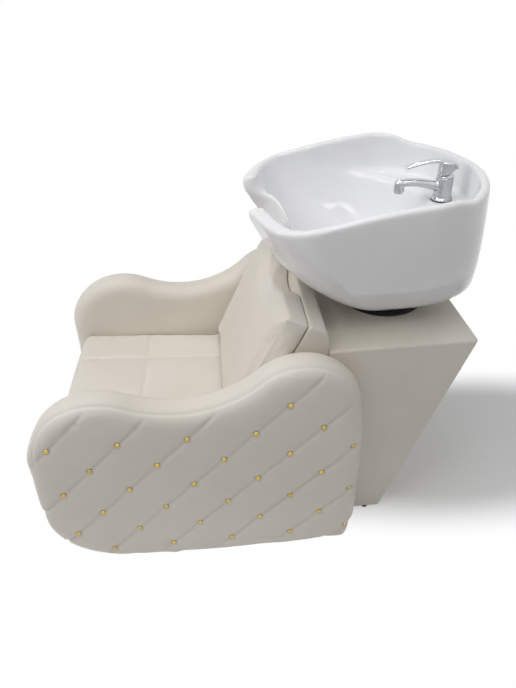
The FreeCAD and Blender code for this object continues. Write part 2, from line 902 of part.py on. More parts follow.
def make_tilt():
    plate = S.plate_thickness
    half_bracket = S.bracket_width / 2
    inside = half_bracket + S.ear_gap
    ear_low = pivot_height - S.ear_drop
    hole = S.pivot_radius + S.pivot_clearance
    far = S.unit_width

    # Two steel angles screwed under the pedestal top carry the pivots.
    angle = [(inside, ear_low), (inside + plate, ear_low), (inside + plate, under_top - plate),
             (inside + plate + S.cradle_flange, under_top - plate),
             (inside + plate + S.cradle_flange, under_top), (inside, under_top)]
    pivot_hole = rod("pivot_hole", hole, far, (-far / 2, pivot_y, pivot_height), "x")
    for name, side in (("left", 1), ("right", -1)):
        points = [(x * side, z) for x, z in angle]
        start = -(pivot_y + S.cradle_depth / 2)
        blank = prism(f"{name}_angle_blank", "XZ_Plane", points, start, S.cradle_depth)
        holes = [pivot_hole]
        for index, (x, y) in enumerate(cradle_screw_spots()):
            holes.append(rod(f"{name}_angle_hole_{index}", S.screw_radius + S.screw_clearance, plate,
                             (x, y, under_top - plate)))
        part(cut(f"{name}_pivot_angle", blank, holes))

    screws = []
    for index, (x, y) in enumerate(cradle_screw_spots()):
        low = under_top - plate
        head_low = low - S.screw_head_height
        head = rod(f"cradle_head_{index}", S.screw_head_radius, S.screw_head_height, (x, y, head_low))
        length = plate + S.top_thickness * GRIP_SHARE
        shank = rod(f"cradle_shank_{index}", S.screw_radius, length, (x, y, low))
        screws.append(fuse(f"cradle_screw_{index}", [head, shank]))
    part(group("cradle_screws", screws))

    # The bracket under the basin hangs its ears between the angles.
    blank = [
        board("bracket_plate", (-half_bracket, pivot_y - S.bracket_depth / 2, basin_base - plate),
              (S.bracket_width, S.bracket_depth, plate)),
    ]
    ear_height = basin_base - plate - ear_low
    for name, x in (("left", half_bracket - plate), ("right", -half_bracket)):
        corner = (x, pivot_y - S.ear_depth / 2, ear_low)
        blank.append(board(f"{name}_ear", corner, (plate, S.ear_depth, ear_height)))
    tools = [pivot_hole, rod("bracket_bore", S.base_hole_radius, plate, (0, pivot_y, basin_base - plate))]
    for index, (x, y) in enumerate(bracket_bolt_spots()):
        tools.append(rod(f"bracket_hole_{index}", S.bracket_bolt_radius + S.screw_clearance, plate,
                         (x, y, basin_base - plate)))
    part(cut("basin_bracket", fuse("bracket_blank", blank), tools))

    bolts = []
    nuts = []
    inner_face = half_bracket - plate - S.panel_gap
    outer_face = inside + plate
    grip = outer_face - inner_face + S.nut_height
    for name, side in (("left", 1), ("right", -1)):
        start = inner_face - S.nut_height if side > 0 else -outer_face
        shank = rod(f"{name}_pivot_shank", S.pivot_radius, grip, (start, pivot_y, pivot_height), "x")
        head_x = outer_face if side > 0 else -(outer_face + S.nut_height)
        spot = (head_x, pivot_y, pivot_height)
        head = hexagon(f"{name}_pivot_head", S.nut_radius, S.nut_height, spot, "x")
        bolts.append(fuse(f"{name}_pivot_bolt", [shank, head]))
        nut_x = inner_face - S.nut_height if side > 0 else -inner_face
        nuts.append(hex_nut(f"{name}_pivot_nut", S.nut_radius, hole, S.nut_height,
                            (nut_x, pivot_y, pivot_height), "x"))
    part(group("pivot_bolts", bolts))
    part(group("pivot_nuts", nuts))

    bolts = []
    hexagon_radius = S.bracket_bolt_radius * HEX_RATIO
    low = basin_base - plate
    for index, (x, y) in enumerate(bracket_bolt_spots()):
        head_low = low - S.screw_head_height
        head = hexagon(f"bracket_head_{index}", hexagon_radius, S.screw_head_height, (x, y, head_low))
        length = plate + S.basin_wall + S.nut_height
        shank = rod(f"bracket_shank_{index}", S.bracket_bolt_radius, length, (x, y, low))
        nut_low = basin_base + S.basin_wall
        nut = hexagon(f"bracket_nut_{index}", hexagon_radius, S.nut_height, (x, y, nut_low))
        bolts.append(fuse(f"bracket_bolt_{index}", [head, shank, nut]))
    part(group("bracket_bolts", bolts))

    ring = rod("ring_blank", S.ring_radius, S.ring_height, (0, pivot_y, S.pedestal_height))
    bore = rod("ring_hole", S.ring_bore, S.ring_height, (0, pivot_y, S.pedestal_height))
    part(cut("base_ring", ring, [bore]))


def bracket_bolt_spots():
    """Where the bracket is bolted to the basin's base."""
    spots = []
    for side in (1, -1):
        for end in (1, -1):
            spots.append((S.bracket_bolt_offset * side, pivot_y + S.bracket_bolt_spread * end))
    return spots


make_tilt()


# Basin

def swell(share, power):
    """How far a wall has swung out, from 0 at its foot to 1 at its top, on a superellipse."""
    return (1 - (1 - share) ** power) ** (1 / power)


QUARTER_ARC = 0.5523  # handle of a Bezier curve that follows a quarter ellipse
FRONT_POWER = 1.56
HEEL_POWER = 1.49
SIDE_POWER = 2.13
BOWL_REAR_POWER = 3
FRONT_SLOPE = 1.3  # wall thickness measured level, where the front wall slopes


def curve(*poles):
    bezier = Part.BezierCurve()
    bezier.setPoles(list(poles))
    return bezier.toShape()


def plan_loop(front, widest, tail, rear, half, tail_handles, z):
    """A closed plan outline: elliptical front, straight sides, and a rear drawn in from its shoulders."""
    handle_y = tail_handles[0] * (rear - tail)
    handle_x = tail_handles[1] * half
    edges = []
    for side in (1, -1):
        w = half * side
        run = [
            curve(Vector(0, front, z), Vector(w * QUARTER_ARC, front, z),
                  Vector(w, widest - QUARTER_ARC * (widest - front), z), Vector(w, widest, z)),
            Part.LineSegment(Vector(w, widest, z), Vector(w, tail, z)).toShape(),
            curve(Vector(w, tail, z), Vector(w, tail + handle_y, z),
                  Vector(handle_x * side, rear, z), Vector(0, rear, z)),
        ]
        edges.append(run)
    back_run = [edge.reversed() for edge in reversed(edges[1])]
    loop = Part.Wire(edges[0] + back_run)
    loop.translate(Vector(0, float(S.arm_front), 0))
    return loop


FRONT_ROUND = 0.63
BOWL_ROUND = 0.5  # the bowl's inside is blunter in front than its outside
# Handles of a rear curve, along and across: the basin's is square at its foot and round at its rim.
FOOT_TAIL = (0.87, 0.9)
RIM_TAIL = (0.5, 0.45)
BOWL_TAIL = (0.55, 0.55)
BOWL_SHOULDER = 0.8  # length of the bowl's rear curve over its half width


def basin_sizes(z, inset):
    """Front, rear and half width of the basin's outside at a height, drawn in by an inset."""
    share = (z - float(basin_base)) / float(basin_top - basin_base)
    front_run = float(base_front - basin_front)
    rear_run = float(basin_rear - base_rear)
    side_run = float(S.basin_half_width - S.base_half_width)
    front = float(base_front) - front_run * swell(share, FRONT_POWER)
    heel_share = min(1, (z - float(basin_base)) / float(S.heel_rise))
    rear = float(base_rear) + rear_run * swell(heel_share, HEEL_POWER)
    half = float(S.base_half_width) + side_run * swell(share, SIDE_POWER)
    return front + FRONT_SLOPE * inset, rear - inset, half - inset


def basin_tail(z):
    """Handles of the basin's rear curve at a height."""
    share = (z - float(basin_base)) / float(basin_top - basin_base)
    return [foot + (rim - foot) * share for foot, rim in zip(FOOT_TAIL, RIM_TAIL)]


def basin_loop(z, inset):
    front, rear, half = basin_sizes(z, inset)
    return plan_loop(front, front + FRONT_ROUND * half, float(tail_reach), rear, half, basin_tail(z), z)


def bowl_sizes(z, grow):
    """Front, rear and half width of the bowl's inside at a height, grown by a wall."""
    floor = float(bowl_floor) - grow
    share = (z - floor) / (float(basin_top) - floor)
    radius = float(S.floor_radius)
    foot = float(pivot_reach)
    mouth_front = float(basin_front + S.bowl_front_wall)
    mouth_half = float(S.basin_half_width - S.rim_wall)
    front = foot - radius - (foot - radius - mouth_front) * swell(share, FRONT_POWER) - grow
    rear = foot + radius + (float(bowl_rear) - foot - radius) * swell(share, BOWL_REAR_POWER) + grow
    half = radius + (mouth_half - radius) * swell(share, SIDE_POWER) + grow
    return front, rear, half


def bowl_loop(z, grow):
    front, rear, half = bowl_sizes(z, grow)
    widest = front + BOWL_ROUND * half
    tail = max(widest + 1, rear - BOWL_SHOULDER * half)
    return plan_loop(front, widest, tail, rear, half, BOWL_TAIL, z)


MOUTH_STEP = 1.5  # how far the mouth's sides stand inside the bowl's


def mouth_loop(z, inset):
    """The space over the tap deck: the bowl's sides run on straight to the rear wall."""
    front, _, half = bowl_sizes(z, -MOUTH_STEP)
    rear = basin_sizes(z, inset)[1]
    return plan_loop(front, front + BOWL_ROUND * half, float(tail_reach), rear, half, basin_tail(z), z)


WALL_STEPS = 14
STEP_POWER = 1.5  # sections lie closer together near the foot
LOFT_DEGREE = 3


def lofted(loop, low, high, offset):
    """A solid through the loops between two heights."""
    loops = []
    for step in range(WALL_STEPS + 1):
        share = (step / WALL_STEPS) ** STEP_POWER
        loops.append(loop(low + (high - low) * share, offset))
    return Part.makeLoft(loops, True, False, False, LOFT_DEGREE)


RIM_EASE = 0.37  # how gently the rim leaves its low and high levels


def rim_cutter():
    """Everything above the rim, which climbs from the horns to the shoulders and sinks behind them."""
    far = float(S.unit_width)
    high = float(basin_top) + 100
    start = float(reach(basin_front)) - 20
    shoulder = float(pivot_y + S.climb_trail)
    end = float(reach(basin_rear)) + 20
    ease = (shoulder - start) * RIM_EASE
    low = float(rim_front)
    level = float(rim_rear)
    run = float(S.sink_run)
    sunk = level - float(S.rear_sink)
    edges = [
        curve(Vector(-far, start, low), Vector(-far, start + ease, low),
              Vector(-far, shoulder - ease, level), Vector(-far, shoulder, level)),
        curve(Vector(-far, shoulder, level), Vector(-far, shoulder + RIM_EASE * run, level),
              Vector(-far, shoulder + run - RIM_EASE * run, sunk), Vector(-far, shoulder + run, sunk)),
    ]
    corners = [Vector(-far, shoulder + run, sunk), Vector(-far, end, sunk), Vector(-far, end, high),
               Vector(-far, start, high), Vector(-far, start, low)]
    for first, last in zip(corners, corners[1:]):
        edges.append(Part.LineSegment(first, last).toShape())
    return Part.Face(Part.Wire(edges)).extrude(Vector(2 * far, 0, 0))


def round_end(half, deep, place):
    """Two quarter ellipses round an end; place turns a distance across and one inwards to a point."""
    edges = []
    for side in (1, -1):
        poles = [place(side * half, 0), place(side * half, deep * QUARTER_ARC),
                 place(side * half * QUARTER_ARC, deep), place(0, deep)]
        edges.append(curve(*poles[::side]))
    return edges


def notch_cutter():
    """The neck notch: a trough of half an ellipse through the front wall."""
    half = float(S.notch_half_width)
    top = float(rim_front)
    high = float(basin_top) + 50
    start = float(reach(basin_front)) - 60
    edges = round_end(half, top - float(notch_level), lambda across, down: Vector(across, start, top - down))
    corners = [Vector(-half, start, top), Vector(-half, start, high),
               Vector(half, start, high), Vector(half, start, top)]
    edges += [Part.LineSegment(first, last).toShape() for first, last in zip(corners, corners[1:])]
    return Part.Face(Part.Wire(edges)).extrude(Vector(0, float(S.notch_run), 0))


def neck_post(grow):
    """The upright round of the client's neck, open to the front and grown by a wall."""
    half = float(S.groove_half_width) + grow
    deep = float(S.groove_depth) + grow
    centre = float(reach(basin_front + S.nose_trim))
    start = float(reach(basin_front)) - half
    low = float(basin_base)
    edges = round_end(half, deep, lambda across, inward: Vector(across, centre + inward, low))
    corners = [Vector(-half, centre, low), Vector(-half, start, low),
               Vector(half, start, low), Vector(half, centre, low)]
    edges += [Part.LineSegment(first, last).toShape() for first, last in zip(corners, corners[1:])]
    return Part.Face(Part.Wire(edges)).extrude(Vector(0, 0, 2 * float(basin_top - basin_base)))


def nose_cutter():
    """Everything in front of the horns' blunt noses."""
    far = float(S.unit_width)
    nose = float(reach(basin_front + S.nose_trim))
    return Part.makeBox(2 * far, far, far, Vector(-far, nose - far, float(basin_base)))


def upright(radius, x, y, low, high):
    """An upright drill."""
    return Part.makeCylinder(radius, high - low, Vector(float(x), float(y), low))


ROUND_LIMIT = 0.7  # largest rounding of the rim, over the wall


def edges_on(shape, first, second):
    """Edges of a solid that lie on the skins of two of the solids that it was cut from."""
    found = []
    for edge in shape.Edges:
        middle = Part.Vertex(edge.valueAt((edge.FirstParameter + edge.LastParameter) / 2))
        if all(middle.distToShape(skin.Shells[0])[0] < TOUCH for skin in (first, second)):
            found.append(edge)
    return found


def basin_shape():
    wall = float(S.basin_wall)
    base = float(basin_base)
    top = float(basin_top)
    outside = lofted(basin_loop, base, top, 0)
    bowl = lofted(bowl_loop, float(bowl_floor), top, 0)
    bowl_outside = lofted(bowl_loop, float(bowl_floor) - wall, top, wall)
    mouth = lofted(mouth_loop, float(deck_level), top, float(S.rim_wall))

    # The neck rests in an upright groove in front, and a lip of even thickness runs round it.
    neck = neck_post(0)
    nose = nose_cutter()
    neck_skin = neck_post(float(S.groove_wall))
    bowl = bowl.cut(neck_skin)
    mouth = mouth.cut(neck_skin)

    # The hollow between the bowl and the skirt stays clear of the notch, and reaches the deck at the rear.
    hollow = lofted(basin_loop, base + wall, float(under_deck), wall)
    far = float(S.unit_width)
    clear = float(S.notch_half_width) + wall
    front_top = float(notch_level) - 2 * wall
    run = far + float(reach(tail_reach))
    keep_notch = Part.makeBox(2 * clear, run, far, Vector(-clear, -far, front_top))
    hollow = hollow.cut([bowl_outside, keep_notch, neck_skin])

    access_y = float(pivot_y + S.bracket_depth / 2) + wall
    access_corner = Vector(-float(S.access_width) / 2, access_y, base - wall)
    access = Part.makeBox(float(S.access_width), float(S.access_length), 3 * wall, access_corner)
    rim = rim_cutter()
    notch = notch_cutter()
    tools = [bowl, mouth, rim, notch, neck, nose, hollow, access]
    tools.append(upright(float(S.base_hole_radius), 0, pivot_y, base - wall, base + 2 * wall))
    tools.append(upright(float(S.waste_hole_radius), 0, pivot_y,
                         float(bowl_floor) - 2 * wall, float(bowl_floor) + wall))
    bolt_hole = float(S.bracket_bolt_radius + S.screw_clearance)
    for x, y in bracket_bolt_spots():
        tools.append(upright(bolt_hole, x, y, base - wall, base + 2 * wall))
    deck = (float(under_deck) - wall, float(deck_level) + wall)
    tools.append(upright(float(S.shank_radius + S.shank_clearance), 0, tap_y, *deck))
    cap_hole = float(S.cap_stem_radius + S.shank_clearance)
    tools.append(upright(cap_hole, S.cap_offset, tap_y + S.cap_back, *deck))
    sharp = outside.cut(tools).Solids[0]
    edges = edges_on(sharp, outside, rim)
    return sharp.makeFillet(min(float(S.rim_round), wall * ROUND_LIMIT), edges)


part(solid("basin", basin_shape()))


# Waste

STRAINER_HOLES = 8
HOLE_CIRCLE = 0.6  # radius of the strainer's ring of holes over its basket's radius


def make_waste():
    floor = bowl_floor
    outer = S.waste_tail_radius + S.thread_rise
    bore = S.waste_tail_radius - S.waste_wall
    lip = S.waste_lip
    thread = -S.waste_thread_length
    recess = outer + S.thread_rise
    flange = [(bore, thread), (outer, thread), (outer, 0), (S.waste_flange_radius, 0),
              (S.waste_flange_radius - lip, lip), (recess, lip), (recess, lip / 3), (bore, lip / 3)]
    part(turned("waste_flange", flange, 0, pivot_y, floor))

    basket = bore - S.strainer_clearance
    rim = recess - S.strainer_clearance
    seat = lip / 3 + S.panel_gap
    sheet_metal = S.waste_wall * 0.6
    deep = -S.strainer_depth
    knob = S.waste_wall * 1.6
    strainer = [(0, deep), (basket, deep), (basket, seat), (rim, seat), (rim, seat + sheet_metal),
                (basket - sheet_metal, seat + sheet_metal), (basket - sheet_metal, deep + sheet_metal),
                (knob * 0.6, deep + sheet_metal), (knob * 0.6, seat), (knob, lip), (knob, lip * 2),
                (0, lip * 2.3)]
    blank = turned("strainer_blank", strainer, 0, pivot_y, floor)
    holes = []
    for index in range(STRAINER_HOLES):
        angle = math.radians(360 * index / STRAINER_HOLES)
        x = basket * (HOLE_CIRCLE * math.cos(angle))
        y = pivot_y + basket * (HOLE_CIRCLE * math.sin(angle))
        holes.append(rod(f"strainer_hole_{index}", S.waste_wall, S.strainer_depth / 2,
                         (x, y, floor + deep - sheet_metal)))
    part(cut("strainer", blank, holes))

    under_floor = floor - S.basin_wall
    slip = outer + S.screw_clearance
    seal = [(slip, 0), (S.waste_nut_radius, 0), (S.waste_nut_radius, S.seal_height), (slip, S.seal_height)]
    part(turned("waste_seal", seal, 0, pivot_y, under_floor - S.seal_height))
    part(hex_nut("waste_nut", S.waste_nut_radius, slip, S.waste_nut_height,
                 (0, pivot_y, under_floor - S.seal_height - S.waste_nut_height)))

    joint = floor - S.waste_thread_length
    length = S.waste_tail_length
    tail = [(bore, 0), (S.waste_tail_radius, 0), (S.waste_tail_radius, length), (bore, length)]
    part(turned("waste_tail", tail, 0, pivot_y, joint - length))
    tight = S.waste_tail_radius + S.screw_clearance
    high = S.waste_nut_height
    union = [(tight, -high), (outer + lip, -high), (outer + lip * 2, -high / 2), (outer + lip * 2, high),
             (slip, high), (slip, 0), (tight, 0)]
    part(turned("tail_nut", union, 0, pivot_y, joint))


make_waste()


# Tap

def ellipse_loop(distance, z, half_width, half_height):
    """An upright ellipse across the tap's middle plane, at a distance in front of its axis."""
    loop = Part.Wire([Part.Ellipse(Vector(), half_width, half_height).toShape()])
    loop.rotate(Vector(), Vector(1, 0, 0), 90)
    loop.translate(Vector(0, float(tap_y) - distance, z))
    return loop


def spout_shape():
    """The spout: it leaves the barrel deep, thins as it runs forward, and turns down at the nozzle."""
    run = float(S.spout_reach)
    z = float(spout_level)
    half = float(S.spout_half_width)
    tall = float(S.spout_half_height)
    loops = [
        ellipse_loop(0.05 * run, z - 1.4 * tall, half * 1.15, tall * 1.3),
        ellipse_loop(0.30 * run, z - 0.6 * tall, half, tall * 1.05),
        ellipse_loop(0.65 * run, z + 0.1 * tall, half * 0.93, tall * 0.9),
        ellipse_loop(run, z, half * 0.85, tall * 0.85),
    ]
    arm = Part.makeLoft(loops, True, False)
    end = Vector(0, float(tap_y) - run, z)
    radius = float(S.nozzle_radius)
    nozzle = Part.makeCylinder(radius, float(S.nozzle_drop), end - Vector(0, 0, float(S.nozzle_drop)))
    return arm.fuse([nozzle, Part.makeSphere(radius, end)])


def make_tap():
    top = S.tap_barrel_height
    seat = top - S.cartridge_seat
    shank = -(S.shank_length + S.gasket_height)
    barrel = S.tap_barrel_radius
    profile = [(0, shank), (S.shank_radius, shank), (S.shank_radius, 0), (S.tap_base_radius, 0),
               (S.tap_base_radius, S.tap_base_height * 0.5), (barrel * 1.05, S.tap_base_height),
               (barrel, top), (S.cartridge_radius + S.cartridge_clearance, top),
               (S.cartridge_radius + S.cartridge_clearance, seat), (0, seat)]
    blank = turned("tap_barrel", profile, 0, tap_y, tap_foot)
    spout = solid("tap_spout", spout_shape())
    cavity = rod("cartridge_cavity", S.cartridge_radius + S.cartridge_clearance, S.cartridge_seat,
                 (0, tap_y, barrel_top - S.cartridge_seat))
    inlets = []
    for name, side in (("hot", 1), ("cold", -1)):
        spot = (S.inlet_offset * side, tap_y, tap_foot + shank)
        inlets.append(rod(f"{name}_inlet", S.inlet_radius, S.inlet_depth, spot))
    part(cut("tap_body", fuse("tap_blank", [blank, spout]), inlets + [cavity]))

    bore = S.shank_radius + S.screw_clearance
    edge = S.tap_base_radius - S.screw_clearance
    gasket = [(bore, 0), (edge, 0), (edge, S.gasket_height), (bore, S.gasket_height)]
    part(turned("tap_gasket", gasket, 0, tap_y, deck_level))
    nut_low = under_deck - S.tap_nut_height
    part(hex_nut("tap_nut", S.tap_nut_radius, bore, S.tap_nut_height, (0, tap_y, nut_low)))
    nozzle_low = spout_level - S.nozzle_drop
    ring = [(S.aerator_radius * 0.6, 0), (S.aerator_radius, 0), (S.aerator_radius, S.aerator_height),
            (S.aerator_radius * 0.6, S.aerator_height)]
    part(turned("aerator", ring, 0, tap_y - S.spout_reach, nozzle_low - S.aerator_height))

    # The cartridge turns in the barrel, and its stem carries the lever's axle.
    gap = S.panel_gap
    dome = barrel_top + gap
    stem = [(0, -S.cartridge_seat + gap * 2), (S.cartridge_radius, -S.cartridge_seat + gap * 2),
            (S.cartridge_radius, 0), (barrel * 0.95, 0), (barrel * 0.95, S.dome_height * 0.25),
            (barrel * 0.65, S.dome_height * 0.75), (S.stem_radius, S.dome_height),
            (S.stem_radius, stem_top - dome), (0, stem_top - dome)]
    blank = turned("stem_blank", stem, 0, tap_y, dome)
    axle = rod("stem_axle_hole", S.lever_axle_radius + S.cartridge_clearance, S.stem_radius * 4,
               (-S.stem_radius * 2, tap_y, axle_level), "x")
    part(cut("cartridge", blank, [axle]))


# The lever's hub and slot, over the stem's radius, and the slot's room above the stem.
HUB_RATIO = 2.1
SLOT_RATIO = 1.55
HUB_DROP = 4
SLOT_HEADROOM = 3.5


def lever_shape():
    """The lever: a hub slotted over the stem, its axle, and a blade that thins to a rounded tip."""
    run = float(S.lever_reach)
    z = float(lever_level)
    half = float(S.lever_half_width)
    tall = float(S.lever_half_height)
    drop = float(S.lever_tip_drop)
    loops = [
        ellipse_loop(-1.08 * half, z - 1, half * 0.5, tall * 0.5),
        ellipse_loop(-0.65 * half, z - 0.5, half * 0.85, tall * 0.85),
        ellipse_loop(0, z, half, tall),
        ellipse_loop(0.35 * run, z + 1, half * 0.82, tall * 0.68),
        ellipse_loop(0.70 * run, z - 0.4 * drop, half * 0.66, tall * 0.5),
        ellipse_loop(0.94 * run, z - drop, half * 0.55, tall * 0.42),
        ellipse_loop(run, z - 1.2 * drop, half * 0.35, tall * 0.26),
    ]
    blade = Part.makeLoft(loops, True, False)
    stem = float(S.stem_radius)
    axle = Vector(0, float(tap_y), float(axle_level))
    hub_low = axle.z - HUB_DROP
    hub = Part.makeCylinder(stem * HUB_RATIO, z - hub_low, Vector(0, axle.y, hub_low))
    slot_half = stem + float(S.panel_gap)
    slot_long = stem * SLOT_RATIO
    slot_top = float(stem_top) + SLOT_HEADROOM
    slot_corner = Vector(-slot_half, axle.y - slot_long, hub_low)
    slot = Part.makeBox(2 * slot_half, 2 * slot_long, slot_top - hub_low, slot_corner)
    pin_half = stem * HUB_RATIO * 0.8
    pin_end = axle - Vector(pin_half, 0, 0)
    pin = Part.makeCylinder(float(S.lever_axle_radius), 2 * pin_half, pin_end, Vector(1, 0, 0))
    return blade.fuse(hub).cut(slot).fuse(pin)


make_tap()
part(solid("tap_lever", lever_shape()))


def make_cap():
    """The domed plug of the spare hole, with its nut under the deck."""
    stem = S.cap_stem_radius
    dome = [(0, -S.cap_stem_length), (stem, -S.cap_stem_length), (stem, 0), (S.cap_radius, 0),
            (S.cap_radius, S.cap_rise * 0.3), (S.cap_radius * 0.65, S.cap_rise * 0.8), (0, S.cap_rise)]
    part(turned("spare_hole_cap", dome, S.cap_offset, tap_y + S.cap_back, deck_level))
    part(hex_nut("cap_nut", stem * HEX_RATIO, stem + S.screw_clearance, S.nut_height,
                 (S.cap_offset, tap_y + S.cap_back, under_deck - S.nut_height)))


make_cap()

doc.recompute()

for item in doc.Objects:
    if "Invalid" in item.State or "Error" in item.State:
        raise RuntimeError(f"{item.Label} did not build: {item.State}")
for item in PARTS:
    if item.Shape.isNull() or not item.Shape.isValid():
        raise RuntimeError(f"{item.Label} has no valid shape")

os.makedirs("parts", exist_ok=True)
for item in PARTS:
    item.Shape.exportStep(f"parts/{item.Label}.step")
    print(item.Label, len(item.Shape.Solids), round(item.Shape.Volume / 1000), "cm3")
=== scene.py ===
# %% [markdown]
# # Backwash unit
#
# A salon backwash unit is a padded chair that stands in front of a ceramic hair basin. The client leans
# back, and the neck lies in the notch of the basin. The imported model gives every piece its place, and this
# lesson dresses it: leather covers, a glazed basin, a chrome tap and the light of a plain studio.

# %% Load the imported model
import json
import math

import bpy
import numpy as np
from mathutils import Matrix, Vector

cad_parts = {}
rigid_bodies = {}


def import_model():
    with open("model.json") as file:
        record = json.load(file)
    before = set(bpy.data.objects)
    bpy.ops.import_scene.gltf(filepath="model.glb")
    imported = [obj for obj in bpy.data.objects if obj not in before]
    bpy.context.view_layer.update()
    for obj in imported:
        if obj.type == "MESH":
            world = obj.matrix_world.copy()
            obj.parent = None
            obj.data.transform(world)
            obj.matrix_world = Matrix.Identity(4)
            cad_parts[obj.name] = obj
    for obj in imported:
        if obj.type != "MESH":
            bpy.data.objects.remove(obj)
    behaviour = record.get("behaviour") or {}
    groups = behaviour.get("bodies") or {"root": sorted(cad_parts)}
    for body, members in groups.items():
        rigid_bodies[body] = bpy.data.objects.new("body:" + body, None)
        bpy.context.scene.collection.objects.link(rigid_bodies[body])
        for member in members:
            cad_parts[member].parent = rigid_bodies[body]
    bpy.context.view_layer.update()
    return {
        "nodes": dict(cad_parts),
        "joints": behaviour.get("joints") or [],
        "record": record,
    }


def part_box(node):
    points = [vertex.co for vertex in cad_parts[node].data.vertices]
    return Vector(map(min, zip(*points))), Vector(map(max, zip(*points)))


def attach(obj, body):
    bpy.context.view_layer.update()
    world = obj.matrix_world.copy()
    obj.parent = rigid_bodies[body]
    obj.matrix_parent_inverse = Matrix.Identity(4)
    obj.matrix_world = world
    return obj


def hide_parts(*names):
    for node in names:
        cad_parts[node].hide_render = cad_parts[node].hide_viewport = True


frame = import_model()
nodes = frame["nodes"]
scene = bpy.context.scene

# %% [markdown]
# ## Finishes
#
# Each finish starts from what the real material is. Colours are written as sRGB hex, the way a paint or a
# leather sample is matched, and one function turns them to the linear values that the shader wants. A node
# tree could be built by hand in the editor, and here one small function adds a node, sets it and links it.

# %% Colour and node helpers
MM = 0.001


def linear(code):
    """An sRGB hex colour as linear RGBA."""
    channels = [int(code[start:start + 2], 16) / 255 for start in (1, 3, 5)]
    curved = [c / 12.92 if c <= 0.04045 else ((c + 0.055) / 1.055) ** 2.4 for c in channels]
    return curved + [1]


def add_node(tree, kind, settings=None, links=None):
    """Add one node, set its properties or sockets, and link other nodes' outputs into it."""
    node = tree.nodes.new(kind)
    for key, value in (settings or {}).items():
        if isinstance(key, str) and hasattr(node, key):
            setattr(node, key, value)
        else:
            node.inputs[key].default_value = value
    for key, output in (links or {}).items():
        tree.links.new(output, node.inputs[key])
    return node


def finish(name, settings):
    """A new material with a Principled shader, and the Object coordinates that its patterns read."""
    material = bpy.data.materials.new(name)
    material.use_nodes = True
    tree = material.node_tree
    tree.nodes.clear()
    shader = add_node(tree, "ShaderNodeBsdfPrincipled", settings)
    add_node(tree, "ShaderNodeOutputMaterial", links={"Surface": shader.outputs["BSDF"]})
    place = add_node(tree, "ShaderNodeTexCoord").outputs["Object"]
    return material, tree, shader, place


def mottle(tree, place, size, low, high, target, detail=3):
    """Let a socket wander between two values, or two colours, in patches of a size in metres."""
    noise = add_node(tree, "ShaderNodeTexNoise", {"Scale": 1 / size, "Detail": detail}, {"Vector": place})
    ramp = add_node(tree, "ShaderNodeValToRGB", links={"Fac": noise.outputs["Fac"]})
    ends = [value if isinstance(value, list) else [value, value, value, 1] for value in (low, high)]
    for element, position, colour in zip(ramp.color_ramp.elements, (0.3, 0.7), ends):
        element.position = position
        element.color = colour
    tree.links.new(ramp.outputs["Color"], target)


# %% [markdown]
# ### Cream coated leather
#
# The covers are a cream upholstery leather with a thin polyurethane coat: semi-matte, with a very fine
# pebble that was pressed into the coat. The real pebble is about a millimetre, too fine for the picture, so
# it is drawn at three millimetres. Hides also drift a little in colour and polish from place to place.

# %% Leather
PEBBLE = 3 * MM
PEBBLE_HEIGHT = 0.3 * MM
HIDE_PATCH = 240 * MM
POLISH_PATCH = 40 * MM
LEATHER_ROUGH = (0.44, 0.56)


def leather(name, light, dark):
    """Cream coated leather, mottled between two near colours."""
    material, tree, shader, place = finish(name, {"IOR": 1.46, "Sheen Weight": 0.06, "Sheen Roughness": 0.4})
    mottle(tree, place, HIDE_PATCH, linear(dark), linear(light), shader.inputs["Base Color"])
    mottle(tree, place, POLISH_PATCH, *LEATHER_ROUGH, shader.inputs["Roughness"])
    pebble = add_node(tree, "ShaderNodeTexVoronoi", {"Scale": 1 / PEBBLE}, {"Vector": place})
    bump = add_node(tree, "ShaderNodeBump", {"Strength": 0.12, "Distance": PEBBLE_HEIGHT},
                    {"Height": pebble.outputs["Distance"]})
    tree.links.new(bump.outputs["Normal"], shader.inputs["Normal"])
    return material


cushion_leather = leather("coated_cushion_leather", "#E9E3DA", "#E3DCD1")
panel_leather = leather("coated_panel_leather", "#E4DED4", "#DDD6CA")
print("leathers", cushion_leather.name, panel_leather.name)

# %% [markdown]
# ### Hard finishes
#
# The basin is vitreous china under a clear glaze: almost white, glossy, with the faint orange-peel of a
# fired glaze. The tap is chromed brass, whose mirror is slightly soft after use. The studs are polished
# brass. Screws and brackets are zinc plated, the boards are birch plywood, and rubber and nylon stay matt.

# %% Glaze, metals, wood and rubber
GLAZE_WAVE = 45 * MM
GLAZE_HEIGHT = 0.5 * MM
GLAZE_TINT = 270 * MM
GLAZE_ROUGH = (0.02, 0.05)
GRAIN_WIDTH = 6 * MM
GRAIN_STRETCH = (1, 0.08, 0.25)
BLOOM_PATCH = 30 * MM
BLOOM_SPECK = 5 * MM


def glaze():
    """Vitreous china under a fired glaze."""
    material, tree, shader, place = finish("glazed_vitreous_china", {"IOR": 1.52})
    mottle(tree, place, GLAZE_TINT, linear("#EDEEF0"), linear("#F3F3F4"), shader.inputs["Base Color"])
    mottle(tree, place, GLAZE_WAVE, *GLAZE_ROUGH, shader.inputs["Roughness"])
    wave = add_node(tree, "ShaderNodeTexNoise", {"Scale": 1 / GLAZE_WAVE, "Detail": 1}, {"Vector": place})
    bump = add_node(tree, "ShaderNodeBump", {"Strength": 0.05, "Distance": GLAZE_HEIGHT},
                    {"Height": wave.outputs["Fac"]})
    tree.links.new(bump.outputs["Normal"], shader.inputs["Normal"])
    return material


def metal(name, light, dark, smooth, rough, patch):
    """A metal whose polish and tone drift over patches of a size in metres."""
    material, tree, shader, place = finish(name, {"Metallic": 1})
    mottle(tree, place, patch * 3, linear(dark), linear(light), shader.inputs["Base Color"])
    mottle(tree, place, patch, smooth, rough, shader.inputs["Roughness"])
    return material


